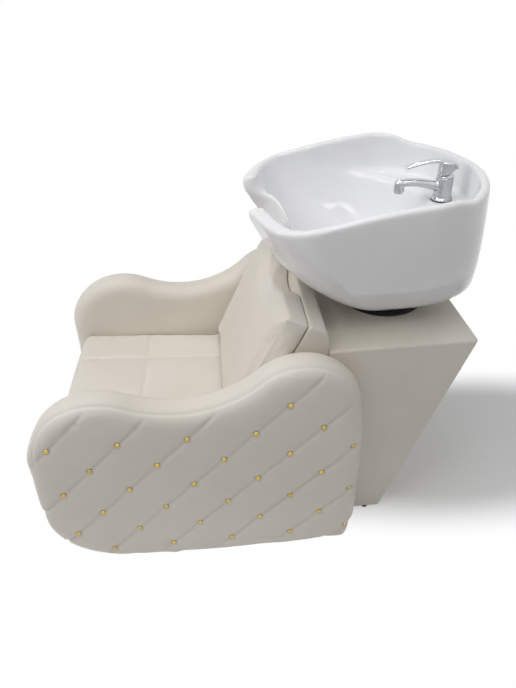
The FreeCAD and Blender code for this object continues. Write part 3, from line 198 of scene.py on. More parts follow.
def plywood():
    """Birch plywood: a pale face with long streaks of grain."""
    material, tree, shader, place = finish("birch_plywood", {"Roughness": 0.6})
    stretch = add_node(tree, "ShaderNodeMapping", {"Scale": GRAIN_STRETCH}, {"Vector": place})
    grain = stretch.outputs["Vector"]
    mottle(tree, grain, GRAIN_WIDTH, linear("#B58F5E"), linear("#D2B283"), shader.inputs["Base Color"],
           detail=6)
    return material


def moulded(name, light, dark, rough):
    """A matt moulded rubber or plastic with a fine bloom."""
    material, tree, shader, place = finish(name, {})
    mottle(tree, place, BLOOM_PATCH, linear(dark), linear(light), shader.inputs["Base Color"])
    mottle(tree, place, BLOOM_SPECK, rough, rough + 0.15, shader.inputs["Roughness"])
    return material


FINISHES = {
    "cushion_leather": cushion_leather,
    "panel_leather": panel_leather,
    "plywood": plywood(),
    "gold": metal("polished_brass", "#CDB768", "#AD964A", 0.12, 0.22, 6 * MM),
    "ceramic": glaze(),
    "chrome": metal("chromed_brass", "#C9CCD0", "#BDC0C4", 0.05, 0.1, 40 * MM),
    "zinc": metal("zinc_plated_steel", "#B4B6B8", "#9A9DA0", 0.3, 0.45, 12 * MM),
    "rubber": moulded("black_rubber", "#26262A", "#1B1B1E", 0.6),
    "glide": moulded("black_nylon", "#2A2A2C", "#202022", 0.45),
}
slot_of = {row["node"]: row["material_slot"] for row in frame["record"]["subparts"]}
for name, node in nodes.items():
    node.data.materials.clear()
    node.data.materials.append(FINISHES[slot_of[name]])
print("finishes", sorted(FINISHES))

# %% [markdown]
# ## Working on one piece at a time
#
# Operators act on whatever is selected, and the imported model arrives selected, so every step first selects
# one piece. A cover starts as a merged copy of its solid, because the solid itself stays as it was imported.

# %% Selection, copies and modifiers
WELD = 0.01 * MM


def pick(piece):
    """Make one piece the only selected object, and the active one."""
    bpy.ops.object.select_all(action="DESELECT")
    piece.select_set(True)
    bpy.context.view_layer.objects.active = piece


def edit(piece):
    """Enter edit mode on one piece, with nothing of its mesh selected."""
    pick(piece)
    bpy.ops.object.mode_set(mode="EDIT")
    bpy.ops.mesh.select_all(action="DESELECT")


def leave():
    """Return to object mode."""
    bpy.ops.object.mode_set(mode="OBJECT")


def copy_solid(node, name):
    """A new piece with a merged copy of a solid's mesh."""
    piece = bpy.data.objects.new(name, nodes[node].data.copy())
    scene.collection.objects.link(piece)
    edit(piece)
    bpy.ops.mesh.select_all(action="SELECT")
    bpy.ops.mesh.remove_doubles(threshold=WELD)
    leave()
    bpy.ops.mesh.customdata_custom_splitnormals_clear()
    return piece


def modify(piece, kind, **settings):
    """Add a modifier with its settings, and apply it at once."""
    pick(piece)
    modifier = piece.modifiers.new(kind.title(), kind)
    for key, value in settings.items():
        setattr(modifier, key, value)
    bpy.ops.object.modifier_apply(modifier=modifier.name)


def points_of(piece):
    """The mesh points as an array, one row each."""
    flat = np.empty(3 * len(piece.data.vertices))
    piece.data.vertices.foreach_get("co", flat)
    return flat.reshape(-1, 3)


def normals_of(piece):
    """The point normals as an array, one row each."""
    flat = np.empty(3 * len(piece.data.vertices))
    piece.data.vertex_normals.foreach_get("vector", flat)
    return flat.reshape(-1, 3)


def move_points(piece, points):
    """Put the mesh points at new places."""
    piece.data.vertices.foreach_set("co", points.ravel())
    piece.data.update()


def weigh(piece, name, weights):
    """A vertex group with a weight for each point, in steps of a tenth."""
    group = piece.vertex_groups.new(name=name)
    steps = np.round(weights, 1)
    for weight in np.unique(steps):
        group.add(np.flatnonzero(steps == weight).tolist(), float(weight), "REPLACE")
    return group.name


def smooth(piece, rounds, group=""):
    """Relax a skin by a number of rounds, all over or by the weights of a group."""
    modify(piece, "SMOOTH", factor=0.5, iterations=rounds, vertex_group=group)


def remesh(piece, size):
    """Rebuild a closed mesh as an even skin of quads."""
    pick(piece)
    piece.data.remesh_voxel_size = size
    bpy.ops.object.voxel_remesh()


def wear(piece, slot, body, *replaced):
    """Smooth shading, the slot's finish, and the body and solids that the piece goes with."""
    pick(piece)
    bpy.ops.object.shade_smooth()
    piece.data.materials.clear()
    piece.data.materials.append(FINISHES[slot])
    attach(piece, body)
    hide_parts(*replaced)
    print(piece.name, len(piece.data.polygons), "faces")


def ramp_up(values, low, high):
    """A smooth step from 0 at the low value to 1 at the high one."""
    share = np.clip((values - low) / (high - low), 0, 1)
    return share * share * (3 - 2 * share)


# %% [markdown]
# ## Padding
#
# A cover over foam is in tension: it swells between its seams and lies flat where it is held. A subdivided
# box with rounded edges looks hard, so the skins are inflated as cloth with a little air pressure and no
# gravity. Points that are sewn or that rest on a board are pinned, and no point may move further than the
# foam would let it.

# %% Inflate a skin
PRESSURE = 4
SIM_FRAMES = 20


def inflate(piece, cap, held):
    """Swell a skin as cloth: held is each point's pin weight, and cap the furthest move in metres."""
    start = points_of(piece)
    group = weigh(piece, "held", held)
    pick(piece)
    cloth = piece.modifiers.new("Padding", "CLOTH")
    cloth.settings.vertex_group_mass = group
    cloth.settings.use_pressure = True
    cloth.settings.uniform_pressure_force = PRESSURE
    cloth.settings.effector_weights.gravity = 0
    cloth.point_cache.frame_start = 1
    cloth.point_cache.frame_end = SIM_FRAMES
    for frame_number in range(1, SIM_FRAMES + 1):
        scene.frame_set(frame_number)
    bpy.ops.object.modifier_apply(modifier=cloth.name)
    scene.frame_set(1)
    piece.vertex_groups.clear()
    step = points_of(piece) - start
    length = np.linalg.norm(step, axis=1)
    move_points(piece, start + step * np.minimum(1, cap / np.maximum(length, 1e-9))[:, None])
    print(piece.name, "swelled by up to", round(1000 * min(length.max(), cap), 1), "mm")


# %% [markdown]
# ## Scroll arms
#
# Each arm is a plywood panel wrapped in foam and a sewn cover. The outer face is quilted: pleats run from
# the lower front to the upper rear, a brass stud holds each crossing, and a fine seam follows the top roll.
# The quilting could be a bump map, and here it is in the mesh, so that it also shows in the bare shape. The
# solid's inner half has no cuts in it, so that half is mirrored to give a clean cover.

# %% A clean arm
ARM_VOXEL = 7.2 * MM
MIRROR_WELD = 0.2 * MM
low_corner, high_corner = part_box("left_arm_pad")
ARM_MIDDLE = (low_corner.x + high_corner.x) / 2
FACE = high_corner.x

arm = copy_solid("left_arm_pad", "left_arm_cover")
edit(arm)
bpy.ops.mesh.select_all(action="SELECT")
bpy.ops.mesh.bisect(plane_co=(ARM_MIDDLE, 0, 0), plane_no=(1, 0, 0), clear_outer=True)
bpy.ops.mesh.select_all(action="DESELECT")
leave()
arm.data.vertices[int(points_of(arm)[:, 0].argmin())].select = True
bpy.ops.object.mode_set(mode="EDIT")
bpy.ops.mesh.select_linked()
bpy.ops.mesh.select_all(action="INVERT")
bpy.ops.mesh.delete(type="VERT")
leave()
arm.data.transform(Matrix.Translation((-ARM_MIDDLE, 0, 0)))
modify(arm, "MIRROR", merge_threshold=MIRROR_WELD)
arm.data.transform(Matrix.Translation((ARM_MIDDLE, 0, 0)))
remesh(arm, ARM_VOXEL)
print("arm skin", len(arm.data.vertices), "points")

# %% [markdown]
# ### Lines of the quilting
#
# The studs stand in rows that are shifted by half a pitch, so the pleats through them run at 45 degrees, at
# equal steps. From the side, the arm's outline is the scroll, the rear swell and the hollow between them:
# three circles that touch. Lines could be drawn on the mesh by hand, and here each point's distance from a
# pleat, a stud or the outline is worked out, which keeps every line where the studs are.

# %% The quilting's lines
PITCH = 170 * MM
PLEAT_STEP = PITCH * math.sqrt(0.5)
FIRST_STUD = Vector((0, low_corner.y + 49 * MM, 471.6 * MM))
SCROLL_TOP, SCROLL_RADIUS = 600 * MM, 175 * MM
REAR_TOP, REAR_RADIUS = 666 * MM, 151 * MM
ARM_LENGTH = 826 * MM
SCROLL = (low_corner.y + SCROLL_RADIUS, SCROLL_TOP - SCROLL_RADIUS, SCROLL_RADIUS)
REAR = (low_corner.y + ARM_LENGTH - REAR_RADIUS, REAR_TOP - REAR_RADIUS, REAR_RADIUS)
DIP_RADIUS = 288 * MM
SEAM_INSET = 9 * MM
SEAM_FADE = 34 * MM
FACE_FADE = (28 * MM, 12 * MM)
FLOOR_FADE = (10 * MM, 36 * MM)


def dip_circle():
    """Centre and radius of the hollow between the scroll and the rear swell: it touches both."""
    span = Vector((REAR[0] - SCROLL[0], REAR[1] - SCROLL[1]))
    to_scroll = SCROLL[2] + DIP_RADIUS
    to_rear = REAR[2] + DIP_RADIUS
    along = (span.length ** 2 + to_scroll ** 2 - to_rear ** 2) / (2 * span.length)
    aside = math.sqrt(to_scroll ** 2 - along ** 2)
    unit = span.normalized()
    centre_y = SCROLL[0] + along * unit.x - aside * unit.y
    centre_z = SCROLL[1] + along * unit.y + aside * unit.x
    return centre_y, centre_z, DIP_RADIUS


DIP = dip_circle()
print("hollow of the arm at", [round(value, 4) for value in DIP])


def inset(points):
    """How far each point lies inside the arm's front, top and rear outline, seen from the side."""
    y, z = points[:, 1], points[:, 2]
    in_scroll, in_dip, in_rear = [radius - np.hypot(y - centre_y, z - centre_z)
                                  for centre_y, centre_z, radius in (SCROLL, DIP, REAR)]
    # Below the swells the inset grows, so that the top seam runs off the edge and the pleats reach it.
    front = in_scroll + np.maximum(0, SCROLL[1] - z)
    rear = in_rear + np.maximum(0, REAR[1] - z)
    # The dip rules between the two lines from its centre to the centres of the swells.
    behind_scroll = (SCROLL[0] - DIP[0]) * (z - DIP[1]) - (SCROLL[1] - DIP[1]) * (y - DIP[0]) > 0
    before_rear = (y - DIP[0]) * (REAR[1] - DIP[1]) - (z - DIP[1]) * (REAR[0] - DIP[0]) > 0
    return np.where(behind_scroll & before_rear, -in_dip, np.where(behind_scroll, rear, front))


def quilt_place(points):
    """Each point's offset from the nearest stud: along the pleat, and square to it upwards."""
    y = points[:, 1] - FIRST_STUD.y
    z = points[:, 2] - FIRST_STUD.z
    offsets = []
    for turned in ((z + y) * math.sqrt(0.5), (z - y) * math.sqrt(0.5)):
        offsets.append((turned + PLEAT_STEP / 2) % PLEAT_STEP - PLEAT_STEP / 2)
    return offsets


def on_face(points):
    """1 on the outer face and its rolled edge below the top seam, and 0 elsewhere and along the floor."""
    outward = ramp_up(points[:, 0], FACE - FACE_FADE[0], FACE - FACE_FADE[1])
    outward *= ramp_up(points[:, 2], *FLOOR_FADE)
    return outward * ramp_up(inset(points), SEAM_INSET, SEAM_INSET + SEAM_FADE)


# %% [markdown]
# ### A full outer rim
#
# Foam that is folded round an edge stands fullest at the edge. The rim of the outer face could be pulled
# out by hand in sculpt mode, and here smooth ramps push its points out at the front, the rear and the foot.
# The push fades out towards the rolls, which are round already, and the cover stays clear of the floor.

# %% Fill out the outer rim
RIM_FULL = {"front": 26 * MM, "toe": 12 * MM, "rear": 20 * MM, "foot": 24 * MM}
RIM_RUN, RIM_EDGE = 150 * MM, 10 * MM
RIM_SIDE = (60 * MM, 8 * MM)
ROLL_FADE = (400 * MM, 560 * MM)
TOE_FADE = (240 * MM, 420 * MM)
HEEL_FADE = 110 * MM
FLOOR_GAP = 3 * MM

skin = points_of(arm)
outer = ramp_up(skin[:, 0], FACE - RIM_SIDE[0], FACE - RIM_SIDE[1])
below_rolls = outer * (1 - ramp_up(skin[:, 2], *ROLL_FADE))
front = ramp_up(-skin[:, 1], -low_corner.y - RIM_RUN, -low_corner.y - RIM_EDGE)
rear = ramp_up(skin[:, 1], high_corner.y - RIM_RUN / 2, high_corner.y - RIM_EDGE)
rear *= ramp_up(skin[:, 2], 0, HEEL_FADE)
foot = ramp_up(-skin[:, 2], -RIM_RUN, -RIM_EDGE)
front_full = RIM_FULL["front"] + RIM_FULL["toe"] * (1 - ramp_up(skin[:, 2], *TOE_FADE))
skin[:, 1] += below_rolls * (RIM_FULL["rear"] * rear - front_full * front)
skin[:, 2] = np.maximum(skin[:, 2] - outer * RIM_FULL["foot"] * foot, FLOOR_GAP)
move_points(arm, skin)
print("rim from", round(skin[:, 1].min(), 3), "to", round(skin[:, 1].max(), 3))

# %% Swell the arm between its pleats
SEWN_WIDTH = (-8 * MM, -3 * MM)
FOAM_EDGE = 20 * MM
ARM_PULL, ARM_SWELL = 3 * MM, 8 * MM

skin = points_of(arm)
sewn = on_face(skin) * ramp_up(-np.abs(quilt_place(skin)[1]), *SEWN_WIDTH)
resting = 1 - ramp_up(skin[:, 0], ARM_MIDDLE, FACE - FOAM_EDGE)
# The skin is drawn in first, so that it swells back to about the size of the solid.
move_points(arm, skin - ARM_PULL * normals_of(arm) * (1 - resting)[:, None])
inflate(arm, ARM_SWELL, np.maximum(sewn, resting))
modify(arm, "SUBSURF", levels=1, render_levels=1)

# %% [markdown]
# ### Sewing
#
# A sewn line is a narrow valley in a padded cover. Cloth could be sewn in the simulation, but the valleys
# come out clearer when each point of the finer skin sinks along its normal. It sinks by the deepest of the
# pleat, the stud's dimple, the short tuck below a stud and the faint pleat across. The seam of the top roll
# is added to that.

# %% Sew the pleats, the dimples and the top seam
PLEAT_DEPTH, PLEAT_HALF, PLEAT_CURVE = 5.5 * MM, 11 * MM, 1.4
DIMPLE = 12 * MM
STUDDED = (39 * MM, 41 * MM)
TUCK, TUCK_HALF, TUCK_SHARE = 26 * MM, 5 * MM, 0.45
CROSS_HALF, CROSS_SHARE = 12 * MM, 0.15
SEAM_DEPTH, SEAM_HALF = 1.8 * MM, 2.5 * MM
SEAM_END = (250 * MM, 400 * MM)
REAR_HOLD = 8 * MM
HOLD_RUN, HOLD_SIDE, HOLD_TOP = (60 * MM, 30 * MM), (40 * MM, 26 * MM), (420 * MM, 480 * MM)

skin = points_of(arm)
along, above = quilt_place(skin)
pleat = np.clip(1 - np.abs(above) / PLEAT_HALF, 0, 1) ** PLEAT_CURVE
round_stud = np.exp(-(along ** 2 + above ** 2) / DIMPLE ** 2)
studded = ramp_up(inset(skin), *STUDDED)
tuck = studded * np.exp(-(along / TUCK_HALF) ** 2) * np.clip(1 + above / TUCK, 0, 1) * (above < 0)
cross_pleat = CROSS_SHARE * np.exp(-(along / CROSS_HALF) ** 2)
deepest = np.maximum.reduce([pleat, studded * round_stud, TUCK_SHARE * tuck, cross_pleat])
depth = PLEAT_DEPTH * deepest * on_face(skin)
# The studs nearest to the rear edge sit deeper, where the rim is filled out round them.
hold = ramp_up(skin[:, 1], high_corner.y - HOLD_RUN[0], high_corner.y - HOLD_RUN[1])
hold *= ramp_up(skin[:, 0], FACE - HOLD_SIDE[0], FACE - HOLD_SIDE[1])
depth += REAR_HOLD * hold * (1 - ramp_up(skin[:, 2], *HOLD_TOP)) * round_stud
seam = np.exp(-((inset(skin) - SEAM_INSET) / SEAM_HALF) ** 2)
depth += SEAM_DEPTH * seam * (skin[:, 0] > ARM_MIDDLE) * ramp_up(skin[:, 2], *SEAM_END)
skin -= depth[:, None] * normals_of(arm)
skin[:, 2] = np.maximum(skin[:, 2], FLOOR_GAP)
move_points(arm, skin)
wear(arm, "cushion_leather", "base", "left_arm_pad")

# %% The other arm
right_arm = bpy.data.objects.new("right_arm_cover", arm.data.copy())
scene.collection.objects.link(right_arm)
right_arm.data.transform(Matrix.Diagonal((-1, 1, 1, 1)))
right_arm.data.flip_normals()
wear(right_arm, "cushion_leather", "base", "right_arm_pad")

# %% [markdown]
# ## Seat, back and apron
#
# The seat is a foam slab in a sewn box cover, with one seam across and two along it. The back pad leans
# behind it, with a dip for the neck. A box with rounded edges could stand in for a pad, but it lacks the
# fullness of foam. So both are inflated, the seat between its seams, and stay flat where they lie on wood.

# %% Seat cushion
SEAT_VOXEL = 5 * MM
SEAM_X = 100 * MM
SEAM_Y = low_corner.y + 250 * MM
SEAM_WIDTH = (-9 * MM, -3 * MM)
BOARD_FADE = (30 * MM, 8 * MM)
PAD_PULL = 2 * MM
SEAT_SWELL = 9 * MM
GROOVE_DEPTH, GROOVE_HALF = 2.5 * MM, 5 * MM

seat = copy_solid("seat_cushion", "seat_cover")
remesh(seat, SEAT_VOXEL)
skin = points_of(seat)
facing = normals_of(seat)
seat_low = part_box("seat_cushion")[0]
seam_gap = np.minimum(np.abs(np.abs(skin[:, 0]) - SEAM_X), np.abs(skin[:, 1] - SEAM_Y))
sewn = ramp_up(-seam_gap, *SEAM_WIDTH)
resting = ramp_up(-skin[:, 2], -seat_low.z - BOARD_FADE[0], -seat_low.z - BOARD_FADE[1])
move_points(seat, skin - PAD_PULL * facing * (1 - resting)[:, None])
inflate(seat, SEAT_SWELL, np.maximum(sewn, resting))
smooth(seat, 4)
skin = points_of(seat)
# Only the points that face upwards are drawn down into the seams.
skin[:, 2] -= GROOVE_DEPTH * np.exp(-(seam_gap / GROOVE_HALF) ** 1.5) * ramp_up(facing[:, 2], 0.3, 0.8)
move_points(seat, skin)
wear(seat, "cushion_leather", "base", "seat_cushion")

# %% Back cushion
BACK_SWELL = 10 * MM

back = copy_solid("back_cushion", "back_cover")
remesh(back, SEAT_VOXEL)
smooth(back, 16)
facing = normals_of(back)
move_points(back, points_of(back) - PAD_PULL * facing)
# The rear side lies on the back board, so the points that face it are held.
inflate(back, BACK_SWELL, ramp_up(facing[:, 1], 0.3, 0.7))
smooth(back, 4)
wear(back, "cushion_leather", "base", "back_cushion")

# %% Back board and apron
for node, name, slot in (("back_frame", "back_board_cover", "panel_leather"),
                         ("front_apron", "apron_cover", "cushion_leather")):
    cover = copy_solid(node, name)
    remesh(cover, SEAT_VOXEL)
    smooth(cover, 10)
    wear(cover, slot, "base", node)

# %% [markdown]
# ## Pedestal
#
# The pedestal is a box of boards under one wrapped cover. Each board could get a cover of its own, but the
# joints would show, so there is one skin with soft edges. It starts as a cube, its lower rear edge is drawn
# in to the slant, its edges are rounded, it is hollowed from below, and a boolean opens the top for the
# tilt mechanism.

# %% Wrapped pedestal
pivot = Vector(frame["joints"][0]["pos_m"])
PANELS = ["pedestal_left_panel", "pedestal_right_panel", "pedestal_rear_panel", "pedestal_front_panel",
          "pedestal_top"]
EDGE = 8 * MM
top_low, top_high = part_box("pedestal_top")
foot_low, foot_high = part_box("pedestal_rear_panel")
slope = (foot_high.y - top_high.y) / (foot_high.z - top_high.z)
FOOT_REAR = top_high.y - slope * (top_high.z - foot_low.z)

size = top_high - Vector((top_low.x, top_low.y, foot_low.z))
centre = top_high - size / 2
bpy.ops.object.select_all(action="DESELECT")
bpy.ops.mesh.primitive_cube_add(size=1, location=centre)
pedestal = bpy.context.active_object
pedestal.name = "pedestal_cover"
pedestal.scale = size
bpy.ops.object.transform_apply(location=True, rotation=False, scale=True)
skin = points_of(pedestal)
lower_rear = (skin[:, 1] > centre.y) & (skin[:, 2] < centre.z)
skin[lower_rear, 1] = FOOT_REAR
move_points(pedestal, skin)
modify(pedestal, "BEVEL", width=EDGE, segments=5, limit_method="NONE")
print("foot at", round(FOOT_REAR, 4))

# %% Hollow the pedestal and open its top
WALL = 17 * MM
HOLE_RADIUS, HOLE_DEPTH, HOLE_DROP = 86 * MM, 80 * MM, 10 * MM
SOFT_EDGE = math.radians(35)

edit(pedestal)
leave()
for face in pedestal.data.polygons:
    face.select = face.normal.z < -0.99
bpy.ops.object.mode_set(mode="EDIT")
bpy.ops.mesh.delete(type="FACE")
leave()
modify(pedestal, "SOLIDIFY", thickness=WALL, offset=-1)
bpy.ops.object.select_all(action="DESELECT")
bpy.ops.mesh.primitive_cylinder_add(vertices=96, radius=HOLE_RADIUS, depth=HOLE_DEPTH,
                                    location=(0, pivot.y, top_high.z - HOLE_DROP))
hole = bpy.context.active_object
modify(pedestal, "BOOLEAN", object=hole, operation="DIFFERENCE", solver="EXACT")
bpy.data.objects.remove(hole)
wear(pedestal, "panel_leather", "base", *PANELS)
pick(pedestal)
bpy.ops.object.shade_smooth_by_angle(angle=SOFT_EDGE)

# %% [markdown]
# ## Basin
#
# The basin is slip-cast vitreous china, so every edge is soft with glaze. The solid has the walls, the
# neck groove and the deck. A voxel skin with a few rounds of smoothing softens all its edges at once, which
# no bevel could do on triangles. The rim then gets more rounds than the rest.

# %% Glazed basin
BASIN_VOXEL = 5.1 * MM

basin = copy_solid("basin", "glazed_basin")
remesh(basin, BASIN_VOXEL)
smooth(basin, 6)
print("basin skin", len(basin.data.vertices), "points")

# %% Roll the rim
HORN_HEIGHT = 948 * MM
RIM_LEAD = 435.5 * MM
RIM_TRAIL = 40 * MM
REAR_SINK, SINK_RUN = 16 * MM, 70 * MM
RIM_ROLL = (-16 * MM, -8 * MM)


def soften(piece, weights, rounds):
    """Smooth some points more than others, by a weight for each."""
    smooth(piece, rounds, weigh(piece, "soft", weights))
    piece.vertex_groups.clear()
    print(piece.name, "softened at", int((weights > 0).sum()), "points")


basin_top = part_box("basin")[1].z
skin = points_of(basin)
# The rim climbs from the horns to the shoulders and sinks a little behind them.
climb = ramp_up(skin[:, 1], pivot.y - RIM_LEAD, pivot.y + RIM_TRAIL)
sink = ramp_up(skin[:, 1], pivot.y + RIM_TRAIL, pivot.y + RIM_TRAIL + SINK_RUN)
rim = HORN_HEIGHT + (basin_top - HORN_HEIGHT) * climb - REAR_SINK * sink
soften(basin, ramp_up(skin[:, 2] - rim, *RIM_ROLL), 12)

# %% [markdown]
# ### Neck notch
#
# The client's neck lies on a rounded nose between two horns. It could be modelled as a lip of its own, and
# here the skin itself is moved, so that the glaze runs on without a joint. Between the horns the nose moves
# back and up, and the horns' tips lean in. Many rounds of smoothing then take the edge off.

# %% Shape the neck notch
NOTCH_HALF = 118 * MM
NOSE_FRONT, NOSE_RUN, NOSE_BACK, NOSE_MIDDLE = -20 * MM, 130 * MM, 85 * MM, 10 * MM
NOSE_HEIGHT = (760 * MM, 850 * MM)
FLOOR_RISE, FLOOR_HALF = 28 * MM, 70 * MM
HORN_RISE, HORN_IN = 8 * MM, 24 * MM
HORN_SIDE = (150 * MM, 230 * MM)
RISE_RUN, RISE_HEIGHT = (60 * MM, 140 * MM), (820 * MM, 862 * MM)
LEAN_RUN, LEAN_HEIGHT = (0, 110 * MM), (830 * MM, 930 * MM)
NECK_RUN, NECK_HEIGHT = (-150 * MM, -120 * MM), (825 * MM, 840 * MM)
HORN_SOFT, NOSE_SOFT = (-170 * MM, -140 * MM), (-110 * MM, -80 * MM)

skin = points_of(basin)
aside, y, z = np.abs(skin[:, 0]), skin[:, 1].copy(), skin[:, 2].copy()
between_sides = 1 - ramp_up(aside, *HORN_SIDE)
nose = 1 - np.clip((y - NOSE_FRONT) / NOSE_RUN, 0, 1)
nose *= (1 - ramp_up(aside, NOSE_MIDDLE, NOTCH_HALF)) * ramp_up(z, *NOSE_HEIGHT)
skin[:, 1] += NOSE_BACK * nose
rise = HORN_RISE + (FLOOR_RISE - HORN_RISE) * (1 - ramp_up(aside, FLOOR_HALF, NOTCH_HALF))
rise *= (1 - ramp_up(y, *RISE_RUN)) * ramp_up(z, *RISE_HEIGHT)
skin[:, 2] += rise * between_sides
inward = ramp_up(aside, 0, NOTCH_HALF) * between_sides
inward *= (1 - ramp_up(y, *LEAN_RUN)) * ramp_up(z, *LEAN_HEIGHT)
skin[:, 0] -= np.sign(skin[:, 0]) * HORN_IN * inward
move_points(basin, skin)
neck = ramp_up(-skin[:, 1], *NECK_RUN) * ramp_up(skin[:, 2], *NECK_HEIGHT)
soften(basin, neck * ramp_up(-np.abs(skin[:, 0]), *HORN_SOFT), 8)
soften(basin, neck * ramp_up(-np.abs(skin[:, 0]), *NOSE_SOFT), 30)

# %% [markdown]
# ### Deck
#
# The tap stands on a deck behind the bowl, and the deck flows into the bowl without an edge. A bevel has no
# clean edge to follow on a voxel skin, so the points near the deck's front edge are smoothed many times.
# The flat round the tap's foot and the outer wall keep their shape.

# %% Blend the deck
DECK = 908 * MM
DECK_BAND = (-34 * MM, -12 * MM)
DECK_FRONT, DECK_REAR = (-130 * MM, -60 * MM), (85 * MM, 97 * MM)
DECK_HALF = 246 * MM

skin = points_of(basin)
behind_pivot = skin[:, 1] - pivot.y
deck_edge = ramp_up(-np.abs(skin[:, 2] - DECK), *DECK_BAND)
deck_edge *= ramp_up(behind_pivot, *DECK_FRONT) * (1 - ramp_up(behind_pivot, *DECK_REAR))
soften(basin, deck_edge * (np.abs(skin[:, 0]) < DECK_HALF), 40)
wear(basin, "ceramic", "basin", "basin")

# %% [markdown]
# ## Tap
#
# The mixer is cast brass, ground, polished and chromed, so it has no sharp edge. Its lever is a hook: a
# hood over the cartridge that runs forward as a flat band and droops at its tip. A subdivided box would
# need many cuts, so the band follows a curve with a round bevel, is widened, and is fused with the hood by a
# fine voxel skin. The hood's underside slants up to the rear, which leaves room for the lever to lift.

# %% Lever
TAP_VOXEL = 1.4 * MM
cartridge_low, cartridge_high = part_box("cartridge")
tap_y = (cartridge_low.y + cartridge_high.y) / 2
# Each point of the band: its place behind the tap's axis and its height, the handle towards the next point,
# and its half thickness, all in millimetres.
BAND = [((21, 985), (24, 999), 6.5), ((-14, 1006), (-40, 1011), 6.5), ((-100, 993), (-112, 987), 4.6)]
BAND_WIDEN = 1.9
HOOD_RADIUS = 20 * MM
HOOD_LOW, HOOD_HIGH = 970 * MM, 1004 * MM
HOOD_SLANT = 14 * MM
HOOD_ROUND = 9 * MM

bpy.ops.object.select_all(action="DESELECT")
bpy.ops.curve.primitive_bezier_curve_add(location=(0, 0, 0))
lever = bpy.context.active_object
lever.name = "hook_lever"
lever.data.bevel_depth = 1 * MM
lever.data.bevel_resolution = 6
lever.data.use_fill_caps = True
line = lever.data.splines[0]
line.bezier_points.add(len(BAND) - len(line.bezier_points))
for point, (place, lead, half) in zip(line.bezier_points, BAND):
    spot, ahead = [Vector((0, tap_y + y * MM, z * MM)) for y, z in (place, lead)]
    point.handle_left_type = point.handle_right_type = "FREE"
    point.co = spot
    point.handle_right = ahead
    point.handle_left = 2 * spot - ahead
    point.radius = half
bpy.ops.object.convert(target="MESH")
lever.data.transform(Matrix.Diagonal((BAND_WIDEN, 1, 1, 1)))

bpy.ops.object.select_all(action="DESELECT")
bpy.ops.mesh.primitive_cylinder_add(vertices=64, radius=HOOD_RADIUS, depth=HOOD_HIGH - HOOD_LOW,
                                    location=(0, tap_y, (HOOD_LOW + HOOD_HIGH) / 2))
hood = bpy.context.active_object
bpy.ops.object.transform_apply(location=True, rotation=False, scale=False)
skin = points_of(hood)
underside = skin[:, 2] < (HOOD_LOW + HOOD_HIGH) / 2
skin[underside, 2] += HOOD_SLANT * (0.5 + (skin[underside, 1] - tap_y) / (2 * HOOD_RADIUS))
move_points(hood, skin)
modify(hood, "BEVEL", width=HOOD_ROUND, segments=6, limit_method="ANGLE", angle_limit=math.radians(80))
pick(lever)
hood.select_set(True)
bpy.ops.object.join()
remesh(lever, TAP_VOXEL)
smooth(lever, 14)
wear(lever, "chrome", "lever", "tap_lever")

# %% Tap body
tap = copy_solid("tap_body", "cast_tap_body")
remesh(tap, TAP_VOXEL)
smooth(tap, 10)
wear(tap, "chrome", "basin", "tap_body")

# %% [markdown]
# ## Studio
#
# A pale floor, a white surround and soft lamps, as for a catalogue picture. The surround is white where it is
# seen, directly, in a mirror or through glass, and dimmer as a light, so that colours come out as they are
# written. The floor shows the lamps' real shadow only in an oval round the pedestal; further out a painted
# glow fades it to white. More light could make the floor white too, but it would bleach the covers.

# %% Floor and surround
FLOOR_SIZE = 40
OVAL_SCALE, OVAL_SHIFT = (2.8, 1.2, 0), (0, -0.85, 0)
OVAL_INNER, OVAL_OUTER, OVAL_GLOW = 0.6, 1.1, 0.09

bpy.ops.object.select_all(action="DESELECT")
bpy.ops.mesh.primitive_plane_add(size=FLOOR_SIZE, location=(0, 0, 0))
floor = bpy.context.active_object
floor.name = "studio_floor"


def showing(tree):
    """1 for a ray that shows the background: seen directly, in a mirror or through glass."""
    rays = add_node(tree, "ShaderNodeLightPath").outputs
    mirrored = add_node(tree, "ShaderNodeMath", {"operation": "MAXIMUM"},
                        {0: rays["Is Camera Ray"], 1: rays["Is Glossy Ray"]})
    through = add_node(tree, "ShaderNodeMath", {"operation": "MAXIMUM"},
                       {0: mirrored.outputs[0], 1: rays["Is Transmission Ray"]})
    return through.outputs[0]


# The floor's glow is painted light: white emission mixed over the lit floor, strongest away from the unit.
glowing_floor = bpy.data.materials.new("painted_glow_floor")
glowing_floor.use_nodes = True
tree = glowing_floor.node_tree
tree.nodes.clear()
matt = add_node(tree, "ShaderNodeBsdfDiffuse", {"Color": linear("#F4F4F4")})
glow = add_node(tree, "ShaderNodeEmission", {"Color": linear("#FFFFFF"), "Strength": 1})
place = add_node(tree, "ShaderNodeTexCoord").outputs["Object"]
# Painted glow: the floor glows more and more away from an oval, long from front to rear, round the pedestal,
# which hides the lamps' shadow outside the oval.
oval = add_node(tree, "ShaderNodeMapping", {"Scale": OVAL_SCALE, "Location": OVAL_SHIFT}, {"Vector": place})
radius = add_node(tree, "ShaderNodeVectorMath", {"operation": "LENGTH"}, {0: oval.outputs[0]})
fade = add_node(tree, "ShaderNodeMapRange",
                {"interpolation_type": "SMOOTHSTEP", "From Min": OVAL_INNER, "From Max": OVAL_OUTER,
                 "To Min": OVAL_GLOW},
                {"Value": radius.outputs["Value"]})
share = add_node(tree, "ShaderNodeMath", {"operation": "MULTIPLY"}, {0: showing(tree), 1: fade.outputs[0]})
mixed = add_node(tree, "ShaderNodeMixShader",
                 links={0: share.outputs[0], 1: matt.outputs[0], 2: glow.outputs[0]})
add_node(tree, "ShaderNodeOutputMaterial", links={"Surface": mixed.outputs[0]})
floor.data.materials.append(glowing_floor)

